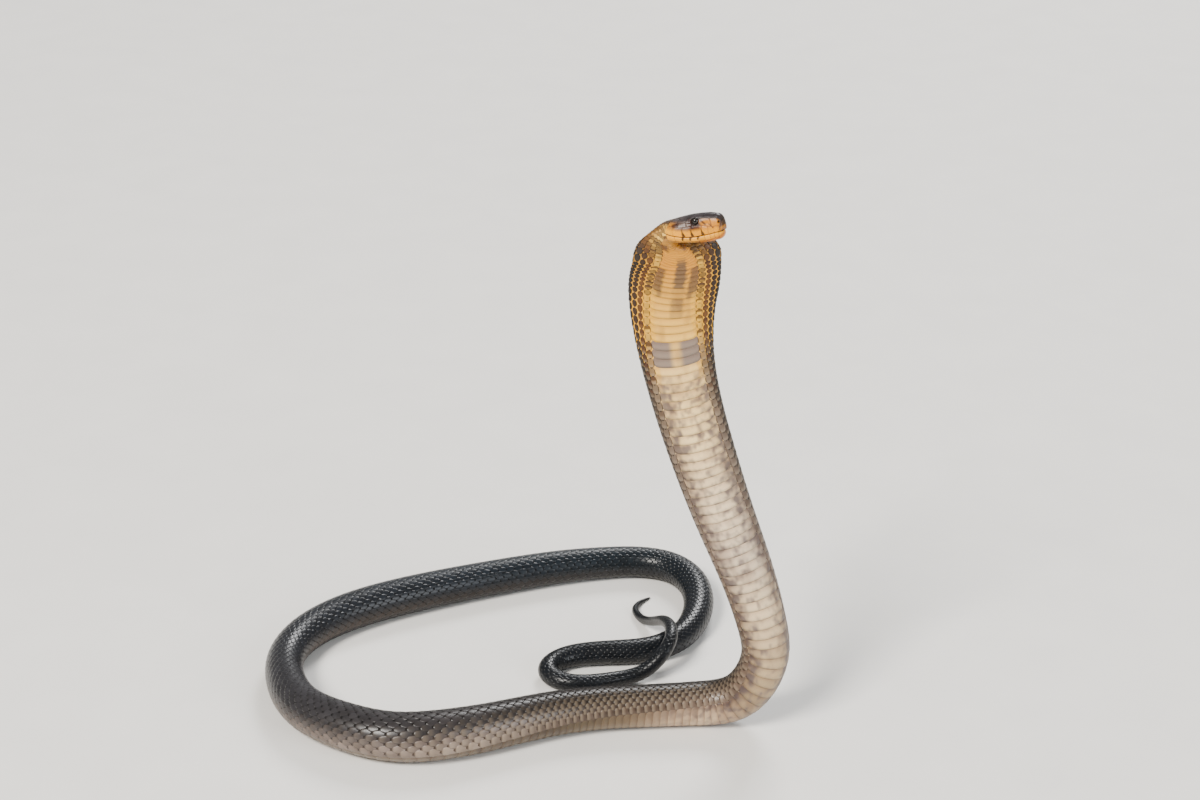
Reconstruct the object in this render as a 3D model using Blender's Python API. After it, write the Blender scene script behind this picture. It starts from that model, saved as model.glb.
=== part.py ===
"""A forest cobra at life size, reared up with its hood spread over its own coils.

The body is one route, from the back of the head to the tip of the tail. Cross-sections stand
across that route, and thin cuts part it into lengths that meet face to face. The head is lofted
along its own axis. All sizes below are in millimetres, and the meshes are written in metres.
"""
import bpy
import bmesh
import numpy as np
from math import cos, pi, radians, sin, sqrt

for old in list(bpy.data.objects):
    bpy.data.objects.remove(old, do_unlink=True)

# Units and clearances
MM = 0.001
GAP = 0.3               # space between two neighbouring pieces
STEP = 0.5              # spacing of the fine points along the route
SMOOTHING = 6           # how many fine points the route is rounded over
FINE_POINTS = 4000      # points read along the spline before they are spaced evenly
KNOT_POWER = 0.75       # keeps the spline from swinging out between close rows

# How the animal lies
FOOTPRINT_SHIFT = np.array([-3.4, 1.5, 0.0])   # brings the middle of its footprint to the origin
SITS_AT = 0.965         # height of a lying length's centre, as a share of its half thickness
DEPTH_SHARE = 0.97      # half depth of a lying length, as a share of its half width

# Head, measured from the tip of the snout
SNOUT_TIP = np.array([167.0, -124.0, 462.6]) + FOOTPRINT_SHIFT
HEAD_YAW = radians(25)      # turned from +X towards the viewer
HEAD_PITCH = radians(15.4)  # snout raised
HEAD_ROLL = radians(10)     # crown tipped away from the viewer
HEAD_LENGTH = 47.0          # snout to where the neck begins
SNOUT_START = 0.8           # where the blunt front begins
SNOUT_ROUNDING = 5.2        # length of the blunt front
SNOUT_LIP_ROUNDING = 2.8    # the same, below its foremost point
SNOUT_LEVEL = 1.2           # height of the foremost point of the snout
CHIN_SETBACK = 2.9          # the lower jaw begins behind the snout
CHIN_ROUNDING = 5.0
CHIN_LIP_ROUNDING = 1.5
CHIN_LEVEL = -6.0           # height of the foremost point of the chin
JAW_WIDTH_SHARE = 0.95      # the lower jaw is a little narrower than the upper
EYE_BACK = 21.6
EYE_UP = 6.5
EYE_OUT = 7.5
EYE_RADIUS = 2.9
NOSTRIL_BACK = 3.4
NOSTRIL_UP = 4.0
NOSTRIL_OUT = 6.1
NOSTRIL_RADIUS = 0.9
LIP_ROLL = 0.5              # how far the lips turn in at the line of the mouth

# Outlines of the head, as places behind the snout with a height or a half width
TOP_LINE = [(6.0, 10.1), (12.0, 11.5), (20.0, 11.8), (28.0, 11.6), (35.0, 10.9), (41.0, 10.0),
            (47.0, 9.0)]
CHIN_LINE = [(7.0, -10.2), (12.0, -10.9), (20.0, -10.9), (30.0, -10.3), (40.0, -9.2),
             (47.0, -8.5)]
MOUTH_LINE = [(0.0, -3.5), (4.4, -3.8), (12.0, -4.8), (24.0, -5.4), (33.0, -4.3), (41.0, -2.2),
              (47.0, 0.3)]
CHEEK_LINE = [(6.0, 7.3), (12.0, 9.0), (20.0, 10.9), (30.0, 13.4), (37.0, 14.6), (42.0, 14.5),
              (47.0, 13.2)]

# Belly plates
BELLY_REACH = radians(70)   # the plates' half angle around the body
PLATE_RISE = 0.045          # how far a plate's rear edge stands proud, as a share of thickness
PLATE_EDGE = 0.35           # length of the drop behind a plate
CUT_CLEARANCE = 3.0         # no plate ends nearer than this to a cut
PLATE_RATIO = 1.0           # a plate's length, as a share of the body's mean half thickness
SIDES = 20
EDGE_THINNING = 0.6         # how much a spread section's side edges thin, where it is
THINS_FROM = 1.15           # this many times as wide as deep
THINS_OVER = 1.6
BELLY_FULLNESS = 0.92       # powers under 1 fill the belly side out
TAIL_RING = 12.0            # spacing of sections behind the vent

# Where the lengths are cut, as distance along the route from the top of the hood
VENT = 1527.0
CUTS = [
    ("hood", 0.0),
    ("forebody_upper", 114.0),
    ("forebody_lower", 239.0),
    ("bend", 349.0),
    ("front_body_right", 432.0),
    ("front_body_middle", 554.0),
    ("front_body_left", 674.0),
    ("left_turn_front", 769.0),
    ("left_turn_back", 859.0),
    ("back_body_left", 954.0),
    ("back_body_middle", 1064.0),
    ("back_body_right", 1189.0),
    ("right_turn_back", 1284.0),
    ("right_turn_front", 1359.0),
    ("inner_body", 1434.0),
    ("tail_base", VENT),
    ("tail_turn", 1592.0),
    ("tail_return", 1644.0),
    ("tail_rise", 1694.0),
    ("tail_fall", 1744.0),
    ("tail_tip", 1796.0),
]

# Neck, between the back of the head and the top of the hood
NECK_RINGS = 10
NECK_HALF_WIDTH = 13.3
NECK_HALF_DEPTH = 8.9
THROAT_DEPTH = 10.0
LEAVES_HEAD = 0.6          # how firmly the neck starts along the head, as a share of its length
THROAT_HANGS = 0.4          # how much further the throat drops below the jaw before it turns
MEETS_HOOD = 2.05           # how firmly it ends along the hood


def head_axes():
    """The head's forward, up and left directions."""
    forward = np.array([cos(HEAD_YAW) * cos(HEAD_PITCH),
                        -sin(HEAD_YAW) * cos(HEAD_PITCH),
                        sin(HEAD_PITCH)])
    level_up = np.array([-cos(HEAD_YAW) * sin(HEAD_PITCH),
                         sin(HEAD_YAW) * sin(HEAD_PITCH),
                         cos(HEAD_PITCH)])
    level_left = np.array([sin(HEAD_YAW), cos(HEAD_YAW), 0.0])
    up = level_up * cos(HEAD_ROLL) + level_left * sin(HEAD_ROLL)
    return forward, up, np.cross(up, forward)


FORWARD, UP, LEFT = head_axes()


def in_head(back, up, left):
    """A place on the head, from its distances behind, above and left of the snout's tip."""
    return SNOUT_TIP - FORWARD * back + UP * up + LEFT * left


# The route, one row for each place where its course, thickness or roll changes

def raised(x, y, z, half_width, half_depth, belly):
    """A row held off the ground, with the direction that its belly faces."""
    place = np.array([x, y, z]) + FOOTPRINT_SHIFT
    return [*place, half_width, half_depth, *(np.array(belly) / np.linalg.norm(belly))]


def lying(x, y, half_width, lean=0.0):
    """A row on the ground. lean rolls the belly towards the viewer, in degrees."""
    half_depth = DEPTH_SHARE * half_width
    height = SITS_AT * (half_width + half_depth) / 2
    return raised(x, y, height, half_width, half_depth,
                  (0, -sin(radians(lean)), -cos(radians(lean))))


ROUTE = [
    raised(130.8, -94.6, 424.0, 35.9, 9.0, (0.15, -0.98, 0)),
    raised(130.0, -90.3, 410.8, 36.8, 9.4, (0.10, -0.99, 0)),
    raised(128.4, -85.4, 391.3, 36.0, 10.0, (0, -1, 0)),
    raised(128.4, -82.7, 372.4, 34.1, 11.0, (0, -1, 0)),
    raised(131.7, -81.0, 338.3, 30.8, 12.5, (0, -1, 0)),
    raised(141.1, -81.0, 293.1, 28.4, 14.0, (0, -1, 0)),
    raised(154.3, -83.0, 247.9, 27.2, 15.4, (0, -1, 0)),
    raised(173.8, -87.0, 190.9, 25.2, 17.2, (0.05, -1, 0)),
    raised(193.5, -94.0, 139.5, 22.8, 18.6, (0.15, -1, 0)),
    raised(206.5, -100.0, 96.0, 21.0, 19.6, (0.25, -1, 0)),
    raised(209.7, -102.5, 70.0, 20.3, 19.8, (0.30, -1, 0)),
    raised(202.0, -103.5, 45.0, 20.0, 19.6, (0.30, -1, -0.25)),
    raised(186.5, -102.0, 26.5, 19.9, 19.5, (0.20, -1, -0.50)),
    raised(166.5, -99.5, 19.2, 19.5, 19.2, (0, -1, -0.62)),
    lying(139.9, -100.5, 19.1, 52),
    lying(104.5, -103.0, 18.8, 45),
    lying(70.5, -106.5, 19.0, 38),
    lying(25.7, -118.0, 19.7, 29),
    lying(-18.3, -136.5, 20.6, 21),
    lying(-62.7, -151.5, 21.5, 11),
    lying(-102.5, -153.5, 21.3, 6),
    lying(-143.2, -136.9, 20.5),
    lying(-180.2, -106.2, 19.0),
    lying(-201.0, -63.0, 17.4),
    lying(-206.5, -17.5, 16.5),
    lying(-193.5, 20.5, 17.1),
    lying(-163.0, 54.5, 17.8),
    lying(-114.2, 85.5, 17.8),
    lying(-37.1, 120.6, 16.9),
    lying(34.6, 146.0, 16.1),
    lying(74.3, 155.0, 15.4),
    lying(108.5, 157.5, 14.9),
    lying(136.5, 148.0, 14.7),
    lying(155.3, 122.2, 14.6),
    lying(161.5, 87.6, 14.1),
    lying(157.2, 54.0, 13.3),
    lying(142.4, 22.5, 12.3),
    lying(117.7, 3.0, 11.7),
    lying(86.5, -2.7, 11.4),
    lying(57.2, -5.4, 10.9),
    lying(35.0, -13.7, 10.2),
    lying(24.7, -30.3, 9.4),
    lying(35.5, -46.3, 8.6),
    lying(61.8, -49.0, 7.9),
    lying(90.0, -40.5, 7.3),
    raised(106.0, -36.0, 9.5, 7.0, 6.8, (0, 0, -1)),
    raised(120.5, -30.5, 18.5, 6.7, 6.5, (0, 0, -1)),
    raised(131.0, -19.0, 28.5, 6.4, 6.2, (0, 0, -1)),
    raised(134.0, 0.0, 32.0, 6.0, 5.8, (0, 0, -1)),
    raised(129.0, 22.0, 28.0, 5.6, 5.4, (0, 0, -1)),
    raised(118.5, 47.0, 13.5, 4.9, 4.7, (0, 0, -1)),
    lying(107.3, 70.0, 4.1),
    lying(102.9, 85.6, 3.4),
    lying(106.8, 99.0, 2.6),
    lying(117.7, 111.6, 1.3),
]


def smooth_through(knots, rows, at):
    """Natural cubic spline through the rows, read at the values in at."""
    gap = np.diff(knots)
    count = len(knots)
    system = np.eye(count)
    right = np.zeros_like(rows)
    for i in range(1, count - 1):
        system[i, i - 1:i + 2] = gap[i - 1], 2 * (gap[i - 1] + gap[i]), gap[i]
        right[i] = 6 * ((rows[i + 1] - rows[i]) / gap[i] - (rows[i] - rows[i - 1]) / gap[i - 1])
    bending = np.linalg.solve(system, right)
    k = np.clip(np.searchsorted(knots, at, side="right") - 1, 0, count - 2)
    a = ((knots[k + 1] - at) / gap[k])[:, None]
    b = 1 - a
    curve = (a ** 3 - a) * bending[k] + (b ** 3 - b) * bending[k + 1]
    return a * rows[k] + b * rows[k + 1] + curve * (gap[k] ** 2 / 6)[:, None]


def rounded(column):
    """One column of the fine points, averaged with its neighbours, with both ends kept."""
    reach = 3 * SMOOTHING
    weights = np.exp(-0.5 * (np.arange(-reach, reach + 1) / SMOOTHING) ** 2)
    before = 2 * column[0] - column[reach:0:-1]
    after = 2 * column[-1] - column[-2:-reach - 2:-1]
    return np.convolve(np.concatenate([before, column, after]), weights / weights.sum(), "valid")


def trace_route():
    """Fine points at even distances along the route, with sizes and directions."""
    rows = np.array(ROUTE, dtype=float)
    spans = np.linalg.norm(np.diff(rows[:, :3], axis=0), axis=1)
    knots = np.concatenate([[0], np.cumsum(spans ** KNOT_POWER)])
    fine = smooth_through(knots, rows, np.linspace(0, knots[-1], FINE_POINTS))
    run = np.linalg.norm(np.diff(fine[:, :3], axis=0), axis=1)
    run = np.concatenate([[0], np.cumsum(run)])
    along = np.arange(0, run[-1], STEP)
    even = np.stack([np.interp(along, run, column) for column in fine.T], axis=1)
    even[:, 2] = np.maximum(even[:, 2], SITS_AT * (even[:, 3] + even[:, 4]) / 2)
    even = np.stack([rounded(column) for column in even.T], axis=1)
    tailward = np.gradient(even[:, :3], axis=0)
    tailward /= np.linalg.norm(tailward, axis=1)[:, None]
    belly = even[:, 5:]
    belly = belly - (belly * tailward).sum(axis=1)[:, None] * tailward
    belly /= np.linalg.norm(belly, axis=1)[:, None]
    return along, even[:, :3], even[:, 3], even[:, 4], tailward, belly


ALONG, CENTRE, HALF_WIDTH, HALF_DEPTH, TAILWARD, BELLY = trace_route()
ROUTE_END = ALONG[-1]
AROUND = np.arange(SIDES) * 2 * pi / SIDES


def thickness_at(distance):
    i = int(round(distance / STEP))
    return sqrt(HALF_WIDTH[i] * HALF_DEPTH[i])


def ring_across(centre, wide, deep, tailward, belly, rise=0.0):
    """A ring of points around one place, where rise lifts the belly plates by that share."""
    thin_edges = 1 + EDGE_THINNING * np.clip((wide / deep - THINS_FROM) / THINS_OVER, 0, 1)
    towards_belly = np.cos(AROUND)
    power = np.where(towards_belly > 0, BELLY_FULLNESS * thin_edges, thin_edges)
    down = deep * np.sign(towards_belly) * np.abs(towards_belly) ** power
    out = wide * np.sin(AROUND)
    on_plate = towards_belly > cos(BELLY_REACH)
    lift = rise * sqrt(wide * deep) * on_plate
    down = down + lift * towards_belly
    out = out + lift * np.sin(AROUND)
    left = np.cross(belly, tailward)
    ring = centre + left * out[:, None] + belly * down[:, None]
    ring[:, 2] = np.maximum(ring[:, 2], 0)
    return ring


def section(distance, rise=0.0, shift=0.0):
    """The ring across the route at one distance, moved tailward by shift."""
    i = min(int(round(distance / STEP)), len(ALONG) - 1)
    return ring_across(CENTRE[i] + TAILWARD[i] * shift, HALF_WIDTH[i], HALF_DEPTH[i],
                       TAILWARD[i], BELLY[i], rise)


def neck_rings():
    """Rings from the back of the head to the top of the hood, turning through the nape."""
    behind_head = in_head(HEAD_LENGTH + GAP / 2, 0, 0)
    nape = ring_across(behind_head, NECK_HALF_WIDTH, NECK_HALF_DEPTH, -FORWARD, -UP)
    throat = ring_across(behind_head, NECK_HALF_WIDTH, THROAT_DEPTH, -FORWARD, -UP)
    start = np.where(np.cos(AROUND)[:, None] > 0, throat, nape)
    end = section(0, shift=-GAP / 2)
    span = np.linalg.norm(end - start, axis=1)[:, None]
    throat_share = np.maximum(np.cos(AROUND), 0)[:, None]
    leaving = -(FORWARD * LEAVES_HEAD + UP * THROAT_HANGS * throat_share) * span
    arriving = TAILWARD[0] * MEETS_HOOD * span
    rings = []
    for t in np.linspace(0, 1, NECK_RINGS):
        from_ends = (2 * t ** 3 - 3 * t ** 2 + 1) * start + (3 * t ** 2 - 2 * t ** 3) * end
        rings.append(from_ends + (t ** 3 - 2 * t ** 2 + t) * leaving + (t ** 3 - t ** 2) * arriving)
    return rings


def plate_edges():
    """Distances of the belly plates' edges, from the hood to the vent."""
    edges = [0.0]
    while edges[-1] + 1.5 * PLATE_RATIO * thickness_at(edges[-1]) < VENT:
        edges.append(edges[-1] + PLATE_RATIO * thickness_at(edges[-1]))
    return edges + [VENT]


def body_rings(start, end, edges):
    """The sections of one length between two cuts."""
    has_plates = start < VENT
    rings = [section(start, shift=GAP / 2)]
    for edge in edges:
        if start + CUT_CLEARANCE < edge < end - CUT_CLEARANCE:
            if has_plates:
                rings.append(section(edge, PLATE_RISE, -PLATE_EDGE))
            rings.append(section(edge))
    rings.append(section(end, PLATE_RISE if has_plates else 0, -GAP / 2))
    return rings


# Meshes

collection = bpy.data.collections.new("forest_cobra")
bpy.context.scene.collection.children.link(collection)
cutters = bpy.data.collections.new("cutters")
bpy.context.scene.collection.children.link(cutters)


def material(name, color, roughness):
    made = bpy.data.materials.new(name)
    made.use_nodes = True
    shader = made.node_tree.nodes["Principled BSDF"]
    shader.inputs["Base Color"].default_value = (*color, 1)
    shader.inputs["Roughness"].default_value = roughness
    shader.inputs["Metallic"].default_value = 0
    return made


def add_object(name, mesh, color, roughness):
    mesh.materials.append(material(name, color, roughness))
    mesh.shade_smooth()
    mesh.set_sharp_from_angle(angle=radians(40))
    made = bpy.data.objects.new(name, mesh)
    collection.objects.link(made)
    return made


def loft(name, rings):
    """A closed mesh through rings of points, with a flat face across each end."""
    bm = bmesh.new()
    loops = [[bm.verts.new(point * MM) for point in ring] for ring in rings]
    count = len(loops[0])
    for near, far in zip(loops, loops[1:]):
        for k in range(count):
            following = (k + 1) % count
            bm.faces.new((near[k], near[following], far[following], far[k]))
    bm.faces.new(list(reversed(loops[0])))
    bm.faces.new(loops[-1])
    bmesh.ops.recalc_face_normals(bm, faces=bm.faces)
    mesh = bpy.data.meshes.new(name)
    bm.to_mesh(mesh)
    bm.free()
    return mesh


def ball(name, centre, radius, across, rings):
    """A sphere around a place on the head."""
    bm = bmesh.new()
    bmesh.ops.create_uvsphere(bm, u_segments=across, v_segments=rings, radius=radius * MM)
    mesh = bpy.data.meshes.new(name)
    bm.to_mesh(mesh)
    bm.free()
    made = bpy.data.objects.new(name, mesh)
    made.location = centre * MM
    return made


# Head

def line_at(line, back):
    return float(np.interp(back, [row[0] for row in line], [row[1] for row in line]))


def front_rounding(back, start, length):
    """0 at the front of a blunt end, 1 from its full size on."""
    share = min(max((back - start) / length, 0), 1)
    return sqrt(1 - (1 - share) ** 2)


def upper_ring(back):
    """Section of the head above the line of the mouth, from the left lip over the crown.

    Powers under 1 square the corners of the rounded section.
    """
    full = front_rounding(back, SNOUT_START, SNOUT_ROUNDING)
    wide = line_at(CHEEK_LINE, back) * full
    top = SNOUT_LEVEL + (line_at(TOP_LINE, back) - SNOUT_LEVEL) * full
    lips = line_at(MOUTH_LINE, back) + GAP / 2
    lips = SNOUT_LEVEL + (lips - SNOUT_LEVEL) * front_rounding(back, SNOUT_START, SNOUT_LIP_ROUNDING)
    ring = []
    for k in range(13):
        turn = pi * k / 12
        out = wide * np.sign(cos(turn)) * abs(cos(turn)) ** 0.70
        up = lips + (top - lips) * sin(turn) ** 0.74
        if k in (0, 12):
            out -= np.sign(out) * LIP_ROLL * full
        ring.append(in_head(back, up, out))
    ring += [in_head(back, lips, wide * share) for share in (-0.5, 0, 0.5)]
    return np.array(ring)


def jaw_ring(back):
    """Section of the lower jaw, from the left lip under the chin."""
    full = front_rounding(back, CHIN_SETBACK, CHIN_ROUNDING)
    wide = JAW_WIDTH_SHARE * line_at(CHEEK_LINE, back) * full
    bottom = CHIN_LEVEL + (line_at(CHIN_LINE, back) - CHIN_LEVEL) * full
    lips = line_at(MOUTH_LINE, back) - GAP / 2
    lips = CHIN_LEVEL + (lips - CHIN_LEVEL) * front_rounding(back, CHIN_SETBACK, CHIN_LIP_ROUNDING)
    ring = []
    for k in range(11):
        turn = pi * k / 10
        out = wide * np.sign(cos(turn)) * abs(cos(turn)) ** 0.8
        up = lips + (bottom - lips) * sin(turn) ** 0.9
        if k in (0, 10):
            out -= np.sign(out) * LIP_ROLL * full
        ring.append(in_head(back, up, out))
    ring += [in_head(back, lips, wide * share) for share in (-0.5, 0, 0.5)]
    return np.array(ring)


def add_head():
    backs = [0.9, 1.3, 2.0, 3.0, 4.4, 6.5, 9, 12, 16, 20, 24, 28, 33, 38, 43, HEAD_LENGTH - GAP / 2]
    rings = [upper_ring(back) for back in backs]
    head = add_object("head", loft("head", rings), (0.10, 0.09, 0.08), 0.4)
    sockets = bpy.data.collections.new("sockets")
    cutters.children.link(sockets)
    for side, name in ((1, "left"), (-1, "right")):
        place = in_head(EYE_BACK, EYE_UP, side * EYE_OUT)
        socket = ball("socket_" + name, place, EYE_RADIUS + GAP, 16, 10)
        nostril = ball("nostril_" + name, in_head(NOSTRIL_BACK, NOSTRIL_UP, side * NOSTRIL_OUT),
                       NOSTRIL_RADIUS, 8, 6)
        for cutter in (socket, nostril):
            cutter.hide_render = True
            cutter.display_type = 'WIRE'
            sockets.objects.link(cutter)
        eye = ball("eye_" + name, place, EYE_RADIUS, 16, 10)
        eye.data.materials.append(material("eye_" + name, (0.01, 0.01, 0.01), 0.05))
        eye.data.shade_smooth()
        collection.objects.link(eye)
    cut = head.modifiers.new("sockets", 'BOOLEAN')
    cut.operation = 'DIFFERENCE'
    cut.operand_type = 'COLLECTION'
    cut.collection = sockets


def add_jaw():
    backs = [3.1, 3.6, 4.4, 5.6, 7.4, 10, 14, 20, 26, 32, 38, 43, HEAD_LENGTH - GAP / 2]
    rings = [jaw_ring(back) for back in backs]
    add_object("lower_jaw", loft("lower_jaw", rings), (0.62, 0.42, 0.16), 0.45)


def add_body():
    edges = plate_edges()
    tail_rings = np.arange(VENT, ROUTE_END, TAIL_RING)[1:]
    ends = [cut[1] for cut in CUTS[1:]] + [ROUTE_END]
    add_object("neck", loft("neck", neck_rings()), (0.35, 0.28, 0.16), 0.4)
    for (name, start), end in zip(CUTS, ends):
        places = edges if start < VENT else tail_rings
        share = start / ROUTE_END
        color = (0.16 - 0.12 * share, 0.14 - 0.11 * share, 0.12 - 0.09 * share)
        add_object(name, loft(name, body_rings(start, end, places)), color, 0.35)


add_head()
add_jaw()
add_body()
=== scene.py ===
from math import cos, pi, radians, sin, sqrt

import bmesh
import bpy
import numpy as np
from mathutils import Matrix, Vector


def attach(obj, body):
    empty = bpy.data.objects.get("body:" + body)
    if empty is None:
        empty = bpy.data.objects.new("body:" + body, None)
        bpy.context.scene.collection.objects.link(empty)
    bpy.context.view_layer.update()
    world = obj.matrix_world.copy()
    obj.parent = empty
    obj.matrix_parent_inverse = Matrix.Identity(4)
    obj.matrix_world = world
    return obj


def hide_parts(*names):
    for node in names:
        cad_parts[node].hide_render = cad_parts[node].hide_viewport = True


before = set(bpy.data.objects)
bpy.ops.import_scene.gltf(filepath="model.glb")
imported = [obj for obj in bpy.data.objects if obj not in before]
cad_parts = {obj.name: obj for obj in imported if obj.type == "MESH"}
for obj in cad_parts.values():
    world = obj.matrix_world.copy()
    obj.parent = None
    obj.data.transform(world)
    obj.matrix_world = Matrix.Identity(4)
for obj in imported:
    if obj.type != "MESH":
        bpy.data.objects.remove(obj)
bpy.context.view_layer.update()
print("nodes:", len(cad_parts))

# %% [markdown]
# ## The line of the body
# A snake is one long tube, so its whole pose is a single line with a thickness. The line could
# be drawn by hand as a curve object. A short list of rows is used instead, because the skin, the
# plates and the scales must all be placed by distance along it. Each row gives a place, a half
# width, a half depth and the direction that the belly faces.
# %% The route, from the top of the hood to the tip of the tail
MM = 0.001
FOOTPRINT_SHIFT = np.array([-3.4, 1.5, 0.0])
SITS_AT = 0.965
DEPTH_SHARE = 0.97


def unit(vectors):
    """Vectors made one long."""
    vectors = np.asarray(vectors, dtype=float)
    return vectors / np.maximum(np.linalg.norm(vectors, axis=-1, keepdims=True), 1e-9)


def raised(x, y, z, half_width, half_depth, belly):
    """A row held off the ground, with the direction that its belly faces."""
    place = np.array([x, y, z]) + FOOTPRINT_SHIFT
    return [*place, half_width, half_depth, *unit(belly)]


def lying(x, y, half_width, lean=0.0):
    """A row on the ground. lean rolls the belly towards the viewer, in degrees."""
    half_depth = DEPTH_SHARE * half_width
    height = SITS_AT * (half_width + half_depth) / 2
    return raised(x, y, height, half_width, half_depth,
                  (0, -sin(radians(lean)), -cos(radians(lean))))


FOREBODY = [
    (130.8, -94.6, 424.0, 35.9, 9.0, (0.15, -0.98, 0)),
    (130.0, -90.3, 410.8, 36.8, 9.4, (0.10, -0.99, 0)),
    (128.4, -85.4, 391.3, 36.0, 10.0, (0, -1, 0)), (128.4, -82.7, 372.4, 34.1, 11.0, (0, -1, 0)),
    (131.7, -81.0, 338.3, 30.8, 12.5, (0, -1, 0)), (141.1, -81.0, 293.1, 28.4, 14.0, (0, -1, 0)),
    (154.3, -83.0, 247.9, 27.2, 15.4, (0, -1, 0)),
    (173.8, -87.0, 190.9, 25.2, 17.2, (0.05, -1, 0)),
    (193.5, -94.0, 139.5, 22.8, 18.6, (0.15, -1, 0)),
    (206.5, -100.0, 96.0, 21.0, 19.6, (0.25, -1, 0)),
    (209.7, -102.5, 70.0, 20.3, 19.8, (0.30, -1, 0)),
    (202.0, -103.5, 45.0, 20.0, 19.6, (0.30, -1, -0.25)),
    (186.5, -102.0, 26.5, 19.9, 19.5, (0.20, -1, -0.50)),
    (166.5, -99.5, 19.2, 19.5, 19.2, (0, -1, -0.62)),
]
LOOPS = [
    (139.9, -100.5, 19.1, 52), (104.5, -103.0, 18.8, 45), (70.5, -106.5, 19.0, 38),
    (25.7, -118.0, 19.7, 29), (-18.3, -136.5, 20.6, 21), (-62.7, -151.5, 21.5, 11),
    (-102.5, -153.5, 21.3, 6), (-143.2, -136.9, 20.5), (-180.2, -106.2, 19.0),
    (-201.0, -63.0, 17.4), (-206.5, -17.5, 16.5), (-193.5, 20.5, 17.1), (-163.0, 54.5, 17.8),
    (-114.2, 85.5, 17.8), (-37.1, 120.6, 16.9), (34.6, 146.0, 16.1), (74.3, 155.0, 15.4),
    (108.5, 157.5, 14.9), (136.5, 148.0, 14.7), (155.3, 122.2, 14.6), (161.5, 87.6, 14.1),
    (157.2, 54.0, 13.3), (142.4, 22.5, 12.3), (117.7, 3.0, 11.7), (86.5, -2.7, 11.4),
    (57.2, -5.4, 10.9), (35.0, -13.7, 10.2), (24.7, -30.3, 9.4), (35.5, -46.3, 8.6),
    (61.8, -49.0, 7.9), (90.0, -40.5, 7.3),
]
TAIL_ARCH = [
    (106.0, -36.0, 9.5, 7.0, 6.8), (120.5, -30.5, 18.5, 6.7, 6.5), (131.0, -19.0, 28.5, 6.4, 6.2),
    (134.0, 0.0, 32.0, 6.0, 5.8), (129.0, 22.0, 28.0, 5.6, 5.4), (118.5, 47.0, 13.5, 4.9, 4.7),
]
TAIL_END = [(107.3, 70.0, 4.1), (102.9, 85.6, 3.4), (106.8, 99.0, 2.6), (117.7, 111.6, 1.3)]
ROUTE = [raised(*row) for row in FOREBODY] + [lying(*row) for row in LOOPS]
ROUTE += [raised(*row, (0, 0, -1)) for row in TAIL_ARCH] + [lying(*row) for row in TAIL_END]
print("rows on the route:", len(ROUTE))

# %% [markdown]
# The rows are joined by a natural cubic spline, the curve that a thin springy strip takes
# through pegs. It is read at even distances and rounded a little, so that no peg shows.
# %% A smooth line through the rows
STEP = 0.5
SMOOTHING = 6
FINE_POINTS = 4000
KNOT_POWER = 0.75


def smooth_through(knots, rows, at):
    """Natural cubic spline through the rows, read at the values in at."""
    gap = np.diff(knots)
    count = len(knots)
    system = np.eye(count)
    right = np.zeros_like(rows)
    for i in range(1, count - 1):
        system[i, i - 1:i + 2] = gap[i - 1], 2 * (gap[i - 1] + gap[i]), gap[i]
        right[i] = 6 * ((rows[i + 1] - rows[i]) / gap[i] - (rows[i] - rows[i - 1]) / gap[i - 1])
    bending = np.linalg.solve(system, right)
    k = np.clip(np.searchsorted(knots, at, side="right") - 1, 0, count - 2)
    a = ((knots[k + 1] - at) / gap[k])[:, None]
    b = 1 - a
    curve = (a ** 3 - a) * bending[k] + (b ** 3 - b) * bending[k + 1]
    return a * rows[k] + b * rows[k + 1] + curve * (gap[k] ** 2 / 6)[:, None]


def run_of(path, power=1):
    """How far along a path each of its points lies, with every step raised to a power."""
    steps = np.linalg.norm(np.diff(path, axis=0), axis=1)
    return np.concatenate([[0], np.cumsum(steps ** power)])


def read_rows(at, places, rows):
    """Rows of values that stand at some places, read at others."""
    return np.stack([np.interp(at, places, column) for column in rows.T], axis=1)


def rounded(column):
    """One column of the fine points, averaged with its neighbours, with both ends kept."""
    reach = 3 * SMOOTHING
    weights = np.exp(-0.5 * (np.arange(-reach, reach + 1) / SMOOTHING) ** 2)
    before = 2 * column[0] - column[reach:0:-1]
    after = 2 * column[-1] - column[-2:-reach - 2:-1]
    return np.convolve(np.concatenate([before, column, after]), weights / weights.sum(), "valid")


rows = np.array(ROUTE, dtype=float)
knots = run_of(rows[:, :3], KNOT_POWER)
fine = smooth_through(knots, rows, np.linspace(0, knots[-1], FINE_POINTS))
run = run_of(fine[:, :3])
stations = np.arange(0, run[-1], STEP)
even = read_rows(stations, run, fine)
even[:, 2] = np.maximum(even[:, 2], SITS_AT * (even[:, 3] + even[:, 4]) / 2)
even = np.stack([rounded(column) for column in even.T], axis=1)[::2]
stations = stations[::2]
CENTRE, HALF_WIDTH, HALF_DEPTH = even[:, :3], even[:, 3], even[:, 4]
TAILWARD = unit(np.gradient(CENTRE, axis=0))
BELLY = unit(even[:, 5:] - (even[:, 5:] * TAILWARD).sum(axis=1)[:, None] * TAILWARD)
THICKNESS = np.sqrt(HALF_WIDTH * HALF_DEPTH)
print("route length in mm:", round(stations[-1], 1))

# %% [markdown]
# ## Sections across the body
# Across the line stand closed sections. A resting body is nearly round, with a flat where it
# lies on the ground. The hood is up to four times as wide as it is deep, because the animal
# spreads its neck ribs. The points of a section are spaced so that equal steps are equal lengths
# of skin, and then a scale keeps its size wherever it sits. A turn of 0 is the middle of the
# belly, 1 the middle of the back, 2 the belly again.
# %% Sections of the body
SKIN_DEPTH = 0.5
EDGE_THINNING = 0.6
THINS_FROM = 1.15
THINS_OVER = 1.6
BELLY_FULLNESS = 0.92
TURNS = np.linspace(0, 2, 241)
ROUND_ANGLES = np.linspace(0, 2 * pi, 361)


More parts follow.
